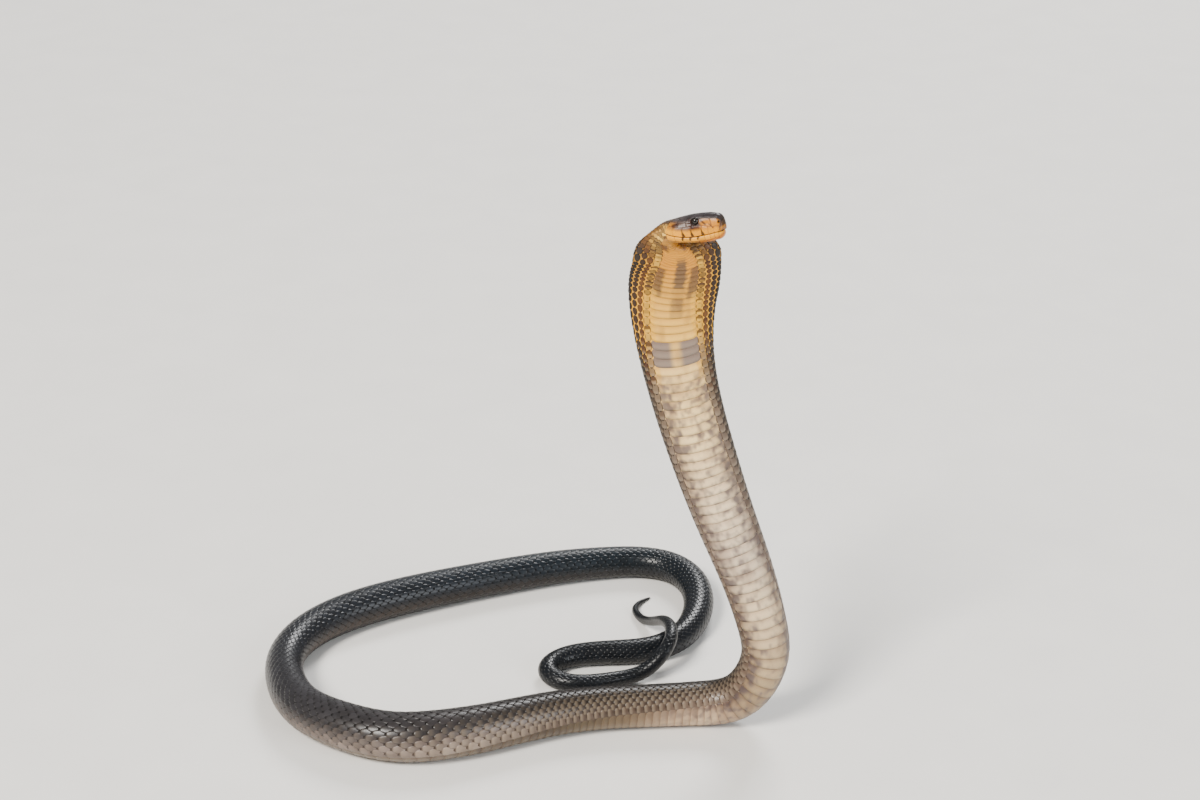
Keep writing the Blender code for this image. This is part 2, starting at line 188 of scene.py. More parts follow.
def spread_of(wide, deep):
    """0 on a round body, 1 where the hood is fully spread."""
    return np.clip((wide / deep - THINS_FROM) / THINS_OVER, 0, 1)


def section(i):
    """One closed section, as points around it."""
    wide = HALF_WIDTH[i] - SKIN_DEPTH
    deep = HALF_DEPTH[i] - SKIN_DEPTH
    towards_belly = np.cos(ROUND_ANGLES)
    power = 1 + EDGE_THINNING * spread_of(HALF_WIDTH[i], HALF_DEPTH[i])
    power = np.where(towards_belly > 0, BELLY_FULLNESS * power, power)
    down = deep * np.sign(towards_belly) * np.abs(towards_belly) ** power
    out = wide * np.sin(ROUND_ANGLES)
    left = np.cross(BELLY[i], TAILWARD[i])
    ring = CENTRE[i] + left * out[:, None] + BELLY[i] * down[:, None]
    ring[:, 2] = np.maximum(ring[:, 2], SKIN_DEPTH)
    return ring


def turns_of(ring):
    """The turn of each point of a closed section, and the section's half girth."""
    middle = len(ring) // 2
    up, down = run_of(ring[:middle + 1]), run_of(ring[middle:])
    return np.concatenate([up / up[-1], 1 + down[1:] / down[-1]]), (up[-1] + down[-1]) / 2


def spaced(ring):
    """The section's points spread evenly along the skin, and its half girth."""
    turned, half_girth = turns_of(ring)
    return read_rows(TURNS, turned, ring), half_girth


body_rows = [spaced(section(i)) for i in range(len(stations))]
print("sections:", len(body_rows), "half girth at the hood:", round(body_rows[14][1], 1))

# %% [markdown]
# ## The head's outline
# The head is measured behind the snout's tip, along its own axis. Four lines give
# its top, chin, mouth and cheeks. A head could be sculpted, but a lofted outline keeps the
# mouth, the lips and every shield on lines that the later steps can name.
# %% Head axes and outlines
SNOUT_TIP = np.array([167.0, -124.0, 462.6]) + FOOTPRINT_SHIFT
HEAD_YAW = radians(25)
HEAD_PITCH = radians(15.4)
HEAD_ROLL = radians(10)
HEAD_LENGTH = 47.0
SNOUT_START = 0.8
SNOUT_ROUNDING = 5.2
SNOUT_LIP_ROUNDING = 2.8
SNOUT_LEVEL = 1.2
CHIN_SETBACK = 2.0
CHIN_ROUNDING = 5.2
TOP_LINE = [(6.0, 10.1), (12.0, 11.5), (20.0, 11.8), (28.0, 11.6), (35.0, 10.9), (41.0, 10.0),
            (47.0, 9.0)]
CHIN_LINE = [(7.0, -10.2), (12.0, -10.9), (20.0, -10.9), (30.0, -10.3), (40.0, -9.2),
             (47.0, -8.5)]
MOUTH_LINE = [(0.0, -3.5), (4.4, -3.8), (12.0, -4.8), (24.0, -5.4), (33.0, -4.3), (41.0, -2.2),
              (47.0, 0.3)]
CHEEK_LINE = [(6.0, 7.3), (12.0, 9.0), (20.0, 10.9), (30.0, 13.4), (37.0, 14.6), (42.0, 14.5),
              (47.0, 13.2)]

level_up = np.array([-cos(HEAD_YAW) * sin(HEAD_PITCH), sin(HEAD_YAW) * sin(HEAD_PITCH),
                     cos(HEAD_PITCH)])
level_left = np.array([sin(HEAD_YAW), cos(HEAD_YAW), 0.0])
FORWARD = np.array([cos(HEAD_YAW) * cos(HEAD_PITCH), -sin(HEAD_YAW) * cos(HEAD_PITCH),
                    sin(HEAD_PITCH)])
UP = level_up * cos(HEAD_ROLL) + level_left * sin(HEAD_ROLL)
LEFT = np.cross(UP, FORWARD)


def in_head(back, up, left):
    """Places on the head, from distances behind, above and left of the snout's tip."""
    back, up, left = (np.asarray(value, dtype=float)[..., None] for value in (back, up, left))
    return SNOUT_TIP - FORWARD * back + UP * up + LEFT * left


def read_line(line, at):
    """A line of places and values, read at other places."""
    return np.interp(at, *np.array(line).T)


def line_at(line, back):
    """A line of the head, read with a little rounding at its corners."""
    return np.mean([read_line(line, back + shift) for shift in (-1.5, -0.5, 0.5, 1.5)])


def share_of(value, start, span):
    """0 at a start, 1 from a span further on, and even between them."""
    return min(max((value - start) / span, 0), 1)


def front_rounding(back, start, length):
    """0 at the front of a blunt end, 1 from its full size on."""
    return sqrt(1 - (1 - share_of(back, start, length)) ** 2)


print("head faces:", FORWARD.round(3), "crown faces:", UP.round(3))

# %% [markdown]
# One side of a head section runs from the chin over the lower lip, into the line of the mouth,
# out over the upper lip and up to the crown. The lips turn in where they meet, and the line of
# the mouth is a real groove that closes at the corner.
# %% One side of a head section
SHIELD_DEPTH = 0.3
LIP_ROLL = 0.7
LIP_HEIGHT = 1.3
MOUTH_DEPTH = 1.5
MOUTH_GAP = 0.16
MOUTH_CORNER = 45.5
CORNER_FADE = 4.0
CHEEK_POWERS = (0.70, 0.74)
JAW_POWERS = (0.8, 0.9)
JAW_SHARE = 0.95
JAW_WIDENS, WIDENS_OVER = 38.0, 8.0
THINNEST = 0.02
OUTLINE_POINTS = 160
LOWER_COLUMNS = 24
MOUTH_COLUMNS = 8
UPPER_COLUMNS = 52
SIDE_COLUMNS = LOWER_COLUMNS + MOUTH_COLUMNS + UPPER_COLUMNS


def evenly(path, count):
    """A path of places spread into equal steps."""
    length = run_of(path)
    return read_rows(np.linspace(0, length[-1], count + 1), length, path)


def rounded_side(wide, lip, end, powers, roll):
    """Places (out, up) from the lip to the crown or the chin, with the lip rolled in."""
    climb = np.linspace(0, pi / 2, OUTLINE_POINTS)
    out = wide * np.cos(climb) ** powers[0]
    up = lip + (end - lip) * np.sin(climb) ** powers[1]
    near_lip = np.clip(1 - np.abs(up - lip) / LIP_HEIGHT, 0, 1)
    return np.stack([out - roll * near_lip ** 2, up], axis=1)


def half_outline(back):
    """Places (out, up) from the middle of the chin to the middle of the crown."""
    full = front_rounding(back, SNOUT_START, SNOUT_ROUNDING)
    lip_full = front_rounding(back, SNOUT_START, SNOUT_LIP_ROUNDING)
    jaw = front_rounding(back, CHIN_SETBACK, CHIN_ROUNDING)
    opened = share_of(MOUTH_CORNER - back, 0, CORNER_FADE)
    cheek = line_at(CHEEK_LINE, back) - SHIELD_DEPTH
    jaw_wide = (JAW_SHARE + (1 - JAW_SHARE) * share_of(back, JAW_WIDENS, WIDENS_OVER)) * cheek * jaw
    mouth = line_at(MOUTH_LINE, back)
    top = SNOUT_LEVEL + (line_at(TOP_LINE, back) - SHIELD_DEPTH - SNOUT_LEVEL) * full
    upper_lip = SNOUT_LEVEL + (mouth + MOUTH_GAP - SNOUT_LEVEL) * lip_full
    lower_lip = mouth - MOUTH_GAP
    chin = lower_lip + (line_at(CHIN_LINE, back) + SHIELD_DEPTH - lower_lip) * jaw
    if back < CHIN_SETBACK:
        chin = lower_lip = upper_lip - THINNEST
    roll = LIP_ROLL * full * opened
    upper = rounded_side(cheek * full, upper_lip, top, CHEEK_POWERS, roll)
    lower = rounded_side(jaw_wide, lower_lip, chin, JAW_POWERS, roll * jaw)[::-1]
    inner = max(jaw_wide - roll - MOUTH_DEPTH * opened, 0.25 * jaw_wide)
    groove = np.array([lower[-1], [inner, (upper_lip + lower_lip) / 2], upper[0]])
    return np.concatenate([evenly(lower, LOWER_COLUMNS)[:-1], evenly(groove, MOUTH_COLUMNS)[:-1],
                           evenly(upper, UPPER_COLUMNS)])


for back in (4, 21.6, 40):
    print("outline at", back, "widest:", half_outline(back)[:, 0].max().round(2))

# %% [markdown]
# The features of a snake's head are shallow, and all of them are pushes on the same outline: a
# brow over each eye, hollows before, behind and above, a full cheek, a round socket and a
# nostril. Pushing the outline, and not just the skin, lets the shields that are laid on later
# follow every hollow.
# %% Sockets, brows, cheeks and nostrils
EYE_BACK, EYE_UP, EYE_OUT, EYE_RADIUS = 21.6, 6.5, 7.5, 2.9
EYE_OPENING = 2.78
SOCKET_RIM = 3.25
BEHIND_EYE = 0.45
NOSTRIL_BACK, NOSTRIL_UP = 3.5, 3.9
NOSTRIL_WIDTH, NOSTRIL_DEPTH, NOSTRIL_RIM = 0.62, 1.3, 0.12
SIDE_STARTS = 2.5
FACE_FORMS = [(0.75, 21.8, 9.7, 5.2, 1.3), (-0.55, 13.5, 3.6, 4.5, 2.6),
              (-0.35, 28.5, 5.0, 3.0, 2.5), (0.45, 35.0, 2.5, 5.0, 3.5),
              (-0.25, 38.0, 7.6, 6.0, 1.2)]


def with_features(back, outline):
    """The outline, pushed in and out by the features of the face."""
    out, up = outline[:, 0].copy(), outline[:, 1]
    side = np.clip((out - SIDE_STARTS) / SIDE_STARTS, 0, 1)
    for push, at_back, at_up, long, tall in FACE_FORMS:
        out += side * push * np.exp(-((back - at_back) / long) ** 2 - ((up - at_up) / tall) ** 2)
    from_eye = np.hypot(back - EYE_BACK, up - EYE_UP)
    ball = EYE_OUT + np.sqrt(np.maximum(EYE_RADIUS ** 2 - from_eye ** 2, 0)) - BEHIND_EYE
    ball = np.where(from_eye < EYE_RADIUS, ball, EYE_OUT)
    sunk = np.clip((SOCKET_RIM - from_eye) / (SOCKET_RIM - EYE_OPENING), 0, 1) * (out > 4)
    out = np.where(sunk > 0, out + (np.minimum(ball, out) - out) * sunk ** 1.5, out)
    from_nostril = np.hypot(back - NOSTRIL_BACK, (up - NOSTRIL_UP) * 0.8)
    pit = NOSTRIL_DEPTH * np.exp(-(from_nostril / NOSTRIL_WIDTH) ** 4)
    rim = NOSTRIL_RIM * np.exp(-((from_nostril - 1.0) / 0.35) ** 2)
    out += (out > SIDE_STARTS) * (rim - pit)
    return np.stack([out, up], axis=1)


FACE_STEP = 0.3
front = SNOUT_START + 0.001 + SNOUT_ROUNDING * (np.linspace(0, 1, 34) ** 2)
behind = np.arange(front[-1] + FACE_STEP, HEAD_LENGTH - 0.1, FACE_STEP)
BACKS = np.concatenate([front, behind, [HEAD_LENGTH]])
HEAD_TURNS = np.linspace(0, 1, SIDE_COLUMNS + 1)
HEAD_TURNS = np.concatenate([HEAD_TURNS, 2 - HEAD_TURNS[-2::-1]])


def head_section(back):
    """One closed section of the head, from the chin over the left side and back."""
    half = with_features(back, half_outline(back))
    out = np.concatenate([half[:, 0], -half[-2::-1, 0]])
    up = np.concatenate([half[:, 1], half[-2::-1, 1]])
    return in_head(back, up, out)


head_rows = np.array([head_section(back) for back in BACKS])
print("head sections:", head_rows.shape)

# %% [markdown]
# ## The neck
# Between the head and the hood the skin turns through the nape and widens to more than twice
# the head's width. Rings across a centre line would cross in so sharp a turn. So each line along
# the neck is its own Hermite curve: it leaves the head along the head, and meets the hood along
# the hood.
# %% The patch between head and hood
NECK_SPAN = 28.0
NECK_ROWS = 41
LEAVES_HEAD = 0.6
THROAT_HANGS = 0.4
MEETS_HOOD = 2.05

behind_head, _ = spaced(head_rows[-1])
top_of_hood = body_rows[0][0]
reach = np.linalg.norm(top_of_hood - behind_head, axis=1)[:, None]
throat_share = np.maximum(np.cos(TURNS * pi), 0)[:, None]
leaving = -(FORWARD * LEAVES_HEAD + UP * THROAT_HANGS * throat_share) * reach
arriving = TAILWARD[0] * MEETS_HOOD * reach
neck_rows = []
for t in np.linspace(0, 1, NECK_ROWS)[:-1]:
    ends = (2 * t ** 3 - 3 * t ** 2 + 1) * behind_head + (3 * t ** 2 - 2 * t ** 3) * top_of_hood
    neck_rows.append(ends + (t ** 3 - 2 * t ** 2 + t) * leaving + (t ** 3 - t ** 2) * arriving)
print("neck rows:", len(neck_rows), "mean reach:", reach.mean().round(1))

# %% [markdown]
# ## Reading the surface anywhere
# The rows of the head, and those of the neck and body, are two tables of points. A small
# function reads a table between its rows, and gives the place and the outward direction. All
# later pieces are laid on the animal through it: they say how far from the snout, how far
# round, and how high over the skin.
# %% Tables of the skin, and a way to read them
BODY_FROM = HEAD_LENGTH + NECK_SPAN
body_table = np.array(neck_rows + [row[0] for row in body_rows])
body_along = np.concatenate([HEAD_LENGTH + np.linspace(0, NECK_SPAN, NECK_ROWS)[:-1],
                             BODY_FROM + stations])
LENGTH = body_along[-1]
GROUND_GAP = 0.02


def folded(turn):
    """A turn with both sides alike: 0 in the middle of the belly, 1 on the back."""
    return 1 - np.abs(1 - np.mod(turn, 2))


def outwards(table):
    """The direction straight out of the skin at each point of a table."""
    across = np.gradient(table, axis=1)
    across[:, 0] = across[:, -1] = table[:, 1] - table[:, -2]
    return unit(np.cross(np.gradient(table, axis=0), across))


def read_table(table, values, at, turns, turn):
    """A table read between its rows and its columns."""
    row = np.clip(np.interp(at, values, np.arange(len(values))), 0, len(values) - 1.001)
    column = np.interp(turn, turns, np.arange(len(turns)))
    column = np.clip(column, 0, len(turns) - 1.001)
    r, c = row.astype(int), column.astype(int)
    fr, fc = (row - r)[..., None], (column - c)[..., None]
    return ((table[r, c] * (1 - fc) + table[r, c + 1] * fc) * (1 - fr)
            + (table[r + 1, c] * (1 - fc) + table[r + 1, c + 1] * fc) * fr)


body_facing = outwards(body_table)
head_facing = outwards(head_rows)


def on_body(along, turn, lift):
    """Places over the skin of the neck and body."""
    where = (body_along, along, TURNS, np.mod(turn, 2))
    facing = unit(read_table(body_facing, *where))
    places = read_table(body_table, *where) + facing * lift[..., None]
    places[..., 2] = np.maximum(places[..., 2], GROUND_GAP)
    return places


def on_head(back, turn, lift):
    """Places over the skin of the head."""
    where = (BACKS, back, HEAD_TURNS, np.mod(turn, 2))
    return read_table(head_rows, *where) + unit(read_table(head_facing, *where)) * lift[..., None]


probe = on_body(np.array([300.0]), np.array([0.0]), np.array([1.0]))
inner = CENTRE[int(300 - BODY_FROM)]
print("belly skin stands off its centre by", np.linalg.norm(probe - inner).round(1))

# %% [markdown]
# The two tables count their turns differently, because the head spends many columns on its
# lips. One last helper hides that: it takes the turn as the body counts it, and reads the head
# in front of the neck and the body behind it. Scales can then cross the join.
# %% One surface from snout to tail
COLUMN_TURNS, _ = turns_of(head_rows[-1])


def on_skin(along, turn, lift):
    """Places over the skin anywhere, with the turn as the body counts it."""
    head_turn = np.interp(np.mod(turn, 2), COLUMN_TURNS, HEAD_TURNS)
    head = on_head(np.minimum(along, HEAD_LENGTH), head_turn, lift)
    body = on_body(np.maximum(along, HEAD_LENGTH), turn, lift)
    return np.where((along < HEAD_LENGTH)[..., None], head, body)


print("lips stand at turn", COLUMN_TURNS[LOWER_COLUMNS].round(2), "behind the head")

# %% [markdown]
# ## How the plates and rows are spaced
# A cobra has one broad belly plate for each pair of ribs, about two hundred before the vent,
# and then pairs of smaller plates under the tail. The back has one scale for each plate in
# every row. So one running count of plates places everything: the fortieth scale of each row
# is level with plate forty. Where the body is stretched the plates are longer, and the lengths
# below were judged along the animal.
# %% A running count of belly plates
VENT = BODY_FROM + 1527.0
FIRST_PLATE_ROW = 30.0
PLATE_LENGTHS = [(30, 2.4), (47, 2.6), (66, 2.9), (80, 4.0), (100, 5.0), (125, 6.7), (155, 7.3),
                 (225, 7.8), (295, 8.2), (375, 8.5), (435, 8.8), (485, 7.8), (525, 6.4),
                 (655, 6.5), (695, 8.5), (755, 10.0), (805, 9.6), (865, 8.4), (975, 8.3),
                 (1125, 8.6), (1275, 7.8), (1425, 7.0), (1525, 6.2), (1602, 5.6), (1640, 6.0),
                 (1720, 5.4), (1815, 5.0), (1890, 4.0), (1943, 2.4)]

fine_along = np.arange(FIRST_PLATE_ROW, LENGTH, STEP)
plates_a_step = STEP / read_line(PLATE_LENGTHS, fine_along)
count_along = np.concatenate([[0], np.cumsum(plates_a_step[:-1])])
VENT_COUNT = float(np.interp(VENT, fine_along, count_along))
LAST_COUNT = count_along[-1]


def along_of(count):
    """Distance from the snout at a count of plates."""
    return np.interp(count, count_along, fine_along)


print("plates before the vent:", round(VENT_COUNT), "pairs behind it:",
      round(LAST_COUNT - VENT_COUNT))

# %% [markdown]
# Each belly plate reaches a little up the flanks. On the hood the plates cover less than half
# of the spread front, and towards the bend they wrap nearly the whole of the visible side.
# %% Where the belly plates end and the side rows begin
PLATE_REACH = [(47, 1), (58, 0.72), (68, 0.74), (86, 1), (440, 1), (500, 0.88), (740, 0.9),
               (860, 1)]

in_neck = np.clip((body_along - HEAD_LENGTH) / NECK_SPAN, 0, 1)
thick_along = np.interp(body_along - BODY_FROM, stations, THICKNESS) * (0.7 + 0.3 * in_neck)
half_girth = np.interp(body_along - BODY_FROM, stations, [row[1] for row in body_rows])
neck_steps = np.linalg.norm(np.diff(body_table[:NECK_ROWS], axis=1), axis=2)
half_girth[:NECK_ROWS] = neck_steps.sum(axis=1) / 2
spread = np.interp(body_along - BODY_FROM, stations, spread_of(HALF_WIDTH, HALF_DEPTH))
spread *= 0.3 + 0.7 * in_neck
behind_vent = np.clip((body_along - VENT) / 15, 0, 1)
belly_half = thick_along * (1.16 - 0.22 * spread - 0.1 * behind_vent) / half_girth
belly_half *= read_line(PLATE_REACH, body_along)


def belly_edge(along):
    """Turn at which the belly plates end."""
    return np.interp(along, body_along, belly_half)


def flank_of(along, turn):
    """-1 in the middle of the belly, 0 at the plates' ends, 1 in the middle of the back."""
    up, edge = folded(turn), belly_edge(along)
    return np.where(up < edge, up / edge - 1, (up - edge) / (1 - edge))


print("plates end at turns", belly_edge(np.array([110, 300, 500, 1200])).round(2))

# %% [markdown]
# The number of rows of scales falls from twenty-three on the hood to seven near the tip of the
# tail. Rows end two by two, so that neighbours stay staggered by half a scale. A row that ends
# gets narrower over several scales, and the others close up beside it.
# %% Rows of scales round the body
ROWS_A_SIDE = 11
ROW_ENDS = {6: 300, 7: 300, 4: 1250, 5: 1250, 2: VENT + 20, 3: VENT + 20, 8: VENT + 160,
            9: VENT + 160}
ROW_FADES = 70.0
LOWEST_ROW = 1.3


def row_widths(along):
    """Relative width of each row of one side, from the middle of the back down."""
    widths = np.ones((ROWS_A_SIDE + 1, *np.shape(along)))
    for row, end in ROW_ENDS.items():
        widths[row] = np.clip((end - along) / ROW_FADES, 0, 1)
    widths[ROWS_A_SIDE] = LOWEST_ROW
    return widths


def row_turns(row, along):
    """Turn of a row's middle on the left side, and the turn that the row is wide."""
    widths = row_widths(along)
    total = 0.5 * widths[0] + widths[1:].sum(axis=0)
    across = 1 - belly_edge(along)
    if row == 0:
        return np.ones_like(along), widths[0] / total * across
    middle = 0.5 * widths[0] + widths[1:row].sum(axis=0) + 0.5 * widths[row]
    return 1 - across * middle / total, widths[row] / total * across


for at in (120.0, 500.0, 1500.0, 1900.0):
    print("at", at, "rows:", int(1 + 2 * (row_widths(np.array(at))[1:] > 0.5).sum()))

# %% [markdown]
# ## The markings
# A forest cobra is yellow and cream in front and glossy black behind, and the change runs along
# its whole length. The colours could be painted on the finished mesh. Colour ramps that read
# the distance along the animal are used instead, because the skin and every scale can share
# them, and one number moves a colour. First come short helpers. Each adds its nodes to `tree`,
# the node tree that is being built, and gives back the socket that the next node reads.
# %% Helpers for shader nodes
DEEPER = 1.22


def seen(red, green, blue):
    """A colour as a photograph shows it, 0 to 255, made linear, and deeper for soft light."""
    shown = np.array([red, green, blue]) / 255
    linear = np.where(shown <= 0.04045, shown / 12.92, ((shown + 0.055) / 1.055) ** 2.4)
    return (*[float(value) for value in linear ** DEEPER], 1.0)


def fed(node, feeds):
    """Gives a node its inputs, as values or as sockets to link."""
    for key, value in feeds.items():
        if isinstance(value, bpy.types.NodeSocket):
            tree.links.new(value, node.inputs[key])
        else:
            node.inputs[key].default_value = value
    return node


def add(kind, feeds, **settings):
    """Adds a shader node with its inputs and settings."""
    node = tree.nodes.new("ShaderNode" + kind)
    for name, value in settings.items():
        setattr(node, name, value)
    return fed(node, feeds)


def reads(name):
    """The value of one of the mesh's attributes."""
    return add("Attribute", {}, attribute_name=name).outputs["Fac"]


def object_place():
    """The place on the object, for patterns in space."""
    return add("TexCoord", {}).outputs["Object"]


def noise(place, scale, detail, roughness=0.5):
    """A cloudy value round 0.5."""
    feeds = {"Vector": place, "Scale": scale, "Detail": detail, "Roughness": roughness}
    return add("TexNoise", feeds).outputs["Fac"]


print("a black scale is", [round(value, 3) for value in seen(30, 32, 36)])

# %% [markdown]
# Most markings are masks, numbers from 0 to 1 that say where a colour lies. They are made by
# fading along a value, multiplied where several must hold, and then used to lay a shade on. The
# mesh stores the distance behind the snout in metres, so a mask along the body reads metres too.
# %% Helpers for masks and colours
def figure(operation, *values):
    """A Math node's result."""
    return add("Math", dict(enumerate(values)), operation=operation).outputs[0]


def times(product, *others):
    """The product of all the values."""
    for other in others:
        product = figure('MULTIPLY', product, other)
    return product


def scaled(value, by, plus):
    """The value times by, plus another value."""
    return figure('MULTIPLY_ADD', value, by, plus)


def fades(value, start, end):
    """0 before start, 1 past end, and smooth between them."""
    feeds = {"Value": value, "From Min": start, "From Max": end}
    return add("MapRange", feeds, interpolation_type='SMOOTHSTEP').outputs["Result"]


def between(value, start, full, last, gone):
    """1 from full to last, and 0 before start and past gone."""
    return times(fades(value, start, full), fades(value, gone, last))


def blends(share, first, second):
    """The first colour where share is 0, and the second where it is 1."""
    return add("Mix", {0: share, 6: first, 7: second}, data_type='RGBA').outputs[2]


def stained(colour, share, strength, shade):
    """A colour with a shade laid over it where share is 1, at some strength."""
    return blends(times(share, strength), colour, seen(*shade))


def darker(share, colour, to):
    """A colour made darker where share is 1."""
    feeds = {0: share, 6: colour, 7: to}
    return add("Mix", feeds, data_type='RGBA', blend_type='MULTIPLY').outputs[2]


def lit(colour, value):
    """A colour made lighter or darker by a value round 1."""
    return add("HueSaturation", {"Value": value, "Color": colour}).outputs["Color"]


def bumps(height, strength, distance=0.0002):
    """The normal of a surface with small bumps."""
    feeds = {"Height": height, "Strength": strength, "Distance": distance}
    return add("Bump", feeds).outputs["Normal"]


def ramp_of(value, stops):
    """A colour ramp, from stops of a position and a shade."""
    ramp = add("ValToRGB", {0: value})
    elements = ramp.color_ramp.elements
    for end in (0, -1):
        position, *shade = stops[end]
        elements[end].position, elements[end].color = position, seen(*shade)
    for position, *shade in stops[1:-1]:
        elements.new(position).color = seen(*shade)
    return ramp.outputs["Color"]


def along_ramp(stops):
    """Colours by distance from the snout, from stops of millimetres and a shade."""
    share = figure('DIVIDE', reads("along"), float(LENGTH * MM))
    return ramp_of(share, [(millimetres / LENGTH, *shade) for millimetres, *shade in stops])


print("metres that the ramps span:", round(float(LENGTH * MM), 3))

# %% [markdown]
# Nodes that several materials share go into groups. A group is added like one node.
# %% Helpers for groups and materials
def new_group(name, outputs, inputs=()):
    """A node group with named sockets, the sockets of its start, and its end node."""
    group = bpy.data.node_groups.new(name, 'ShaderNodeTree')
    for title in inputs:
        group.interface.new_socket(title, in_out='INPUT', socket_type='NodeSocketFloat')
    for title, kind in outputs.items():
        group.interface.new_socket(title, in_out='OUTPUT', socket_type="NodeSocket" + kind)
    return group, group.nodes.new("NodeGroupInput").outputs, group.nodes.new("NodeGroupOutput")


def placed(group, **feeds):
    """Puts a node group into the tree, and gives its outputs."""
    node = tree.nodes.new("ShaderNodeGroup")
    node.node_tree = group
    return fed(node, feeds).outputs


def new_material(name):
    """An empty node material, its tree and its output."""
    material = bpy.data.materials.new(name)
    material.use_nodes = True
    material.node_tree.nodes.clear()
    return material, material.node_tree, material.node_tree.nodes.new("ShaderNodeOutputMaterial")


def surface(output, feeds):
    """Adds the one shader of a material and links it to the output."""
    tree.links.new(add("BsdfPrincipled", feeds).outputs[0], output.inputs["Surface"])


print("node groups so far:", len(bpy.data.node_groups))

# %% [markdown]
# The coat is described by three ramps: the lowest rows beside the belly, the rows half way up
# the side, and the rows on the back. Two more give the belly plates and the bare skin that shows
# between the scales of the spread hood.
# %% Colours of the body, from the nape to the tail
# Round 740 to 840 mm these ramps and the belly's turn paler, partly the body's own colour and partly
# a painted sheen where the lying body catches the light.
LOWEST_ROWS = [
    (47, 236, 198, 112), (64, 228, 182, 84), (95, 222, 174, 54), (140, 222, 176, 70),
    (158, 170, 136, 84), (190, 138, 118, 94), (240, 124, 108, 94), (330, 118, 102, 90),
    (420, 108, 91, 78), (510, 116, 100, 88), (580, 88, 74, 64), (660, 96, 82, 72),
    (740, 152, 138, 126), (800, 142, 128, 120), (870, 116, 104, 97), (950, 84, 73, 66),
    (1050, 72, 62, 56), (1200, 58, 51, 48), (1350, 44, 43, 45), (1500, 54, 56, 60),
    (1600, 34, 36, 40), (1900, 32, 32, 34),
]
SIDE_ROWS = [
    (47, 218, 176, 92), (57, 172, 124, 54), (68, 122, 82, 36), (82, 108, 72, 30),
    (98, 118, 80, 32), (145, 120, 82, 36), (170, 94, 76, 56), (240, 80, 67, 57),
    (420, 74, 62, 53), (530, 74, 63, 55), (640, 62, 52, 45), (740, 116, 104, 98),
    (830, 98, 90, 87), (930, 62, 58, 58), (1200, 44, 47, 52), (1350, 32, 38, 42),
    (1500, 38, 41, 46), (1900, 28, 30, 34),
]
BACK_ROWS = [
    (47, 92, 84, 76), (75, 48, 36, 26), (145, 44, 33, 24), (240, 44, 37, 32), (420, 52, 43, 37),
    (560, 46, 39, 34), (640, 46, 40, 36), (740, 64, 60, 60), (860, 62, 60, 62),
    (1000, 44, 46, 51), (1200, 40, 46, 53), (1350, 30, 38, 44), (1500, 27, 31, 37),
    (1900, 26, 29, 33),
]
# The first stop, darker, is painted shade on the throat under the jaw.
BELLY_PLATES = [
    (47, 186, 138, 66), (62, 222, 160, 40), (80, 226, 160, 38), (96, 222, 168, 68),
    (120, 232, 182, 84), (148, 240, 194, 98), (185, 246, 212, 150), (240, 240, 212, 164),
    (290, 230, 208, 174), (350, 216, 198, 174), (400, 220, 198, 164), (440, 198, 175, 140),
    (480, 164, 142, 110), (500, 178, 154, 126), (522, 208, 184, 154), (548, 194, 170, 142),
    (590, 136, 118, 94), (640, 120, 106, 84), (700, 126, 112, 94), (790, 160, 146, 128),
    (840, 150, 134, 116), (900, 100, 86, 72), (1000, 68, 59, 53), (1150, 50, 48, 48),
    (1900, 30, 32, 35),
]
BARE_SKIN = [
    (47, 70, 52, 34), (62, 150, 106, 34), (78, 246, 184, 14), (150, 246, 188, 20),
    (200, 206, 182, 136), (330, 160, 138, 112), (450, 70, 56, 46), (600, 30, 27, 26),
    (1900, 16, 17, 19),
]

tree, _, ends = new_group("cobra colours",
                          {"Scales": "Color", "Belly": "Color", "Bare skin": "Color"})
body_colours = tree
along, flank = reads("along"), reads("flank")
on_neck = fades(along, 0.076, 0.058)
stretch = figure('SUBTRACT', scaled(fades(along, 0.42, 0.24), 0.75, 1.0), on_neck)
rows_up = times(flank, stretch)
lower = blends(fades(rows_up, 0.1, 0.27), along_ramp(LOWEST_ROWS), along_ramp(SIDE_ROWS))
coat_colour = blends(fades(rows_up, 0.27, 0.47), lower, along_ramp(BACK_ROWS))
bare = blends(fades(flank, 0.22, 0.5), along_ramp(BARE_SKIN), seen(34, 27, 22))
fed(ends, {"Scales": coat_colour, "Belly": along_ramp(BELLY_PLATES), "Bare skin": bare})
print("nodes in the body's group:", len(tree.nodes))

# %% [markdown]
# Two more groups are shared. One finds the rim of a scale, from where each point is on its
# scale. The other makes the faint grain of a scale as a height for the bump, and a soft mottle.
# %% The rim of a scale, and the grain of its surface
tree, given, ends = new_group("scale rim", {"Rim": "Float"}, ["Width", "Rear"])
rim_group = tree
by_side = fades(figure('ABSOLUTE', reads("side")), figure('SUBTRACT', 1.0, given["Width"]), 0.96)
by_tip = fades(reads("tip"), figure('SUBTRACT', 1.0, given["Rear"]), 0.97)
fed(ends, {"Rim": figure('MAXIMUM', by_side, by_tip)})

tree, given, ends = new_group("scale grain", {"Height": "Float", "Mottle": "Float"}, ["Fineness"])
grain_group = tree
place = object_place()
fed(ends, {"Height": noise(place, given["Fineness"], 3.0, 0.6), "Mottle": noise(place, 95.0, 2.0)})
print("groups:", [group.name for group in bpy.data.node_groups])
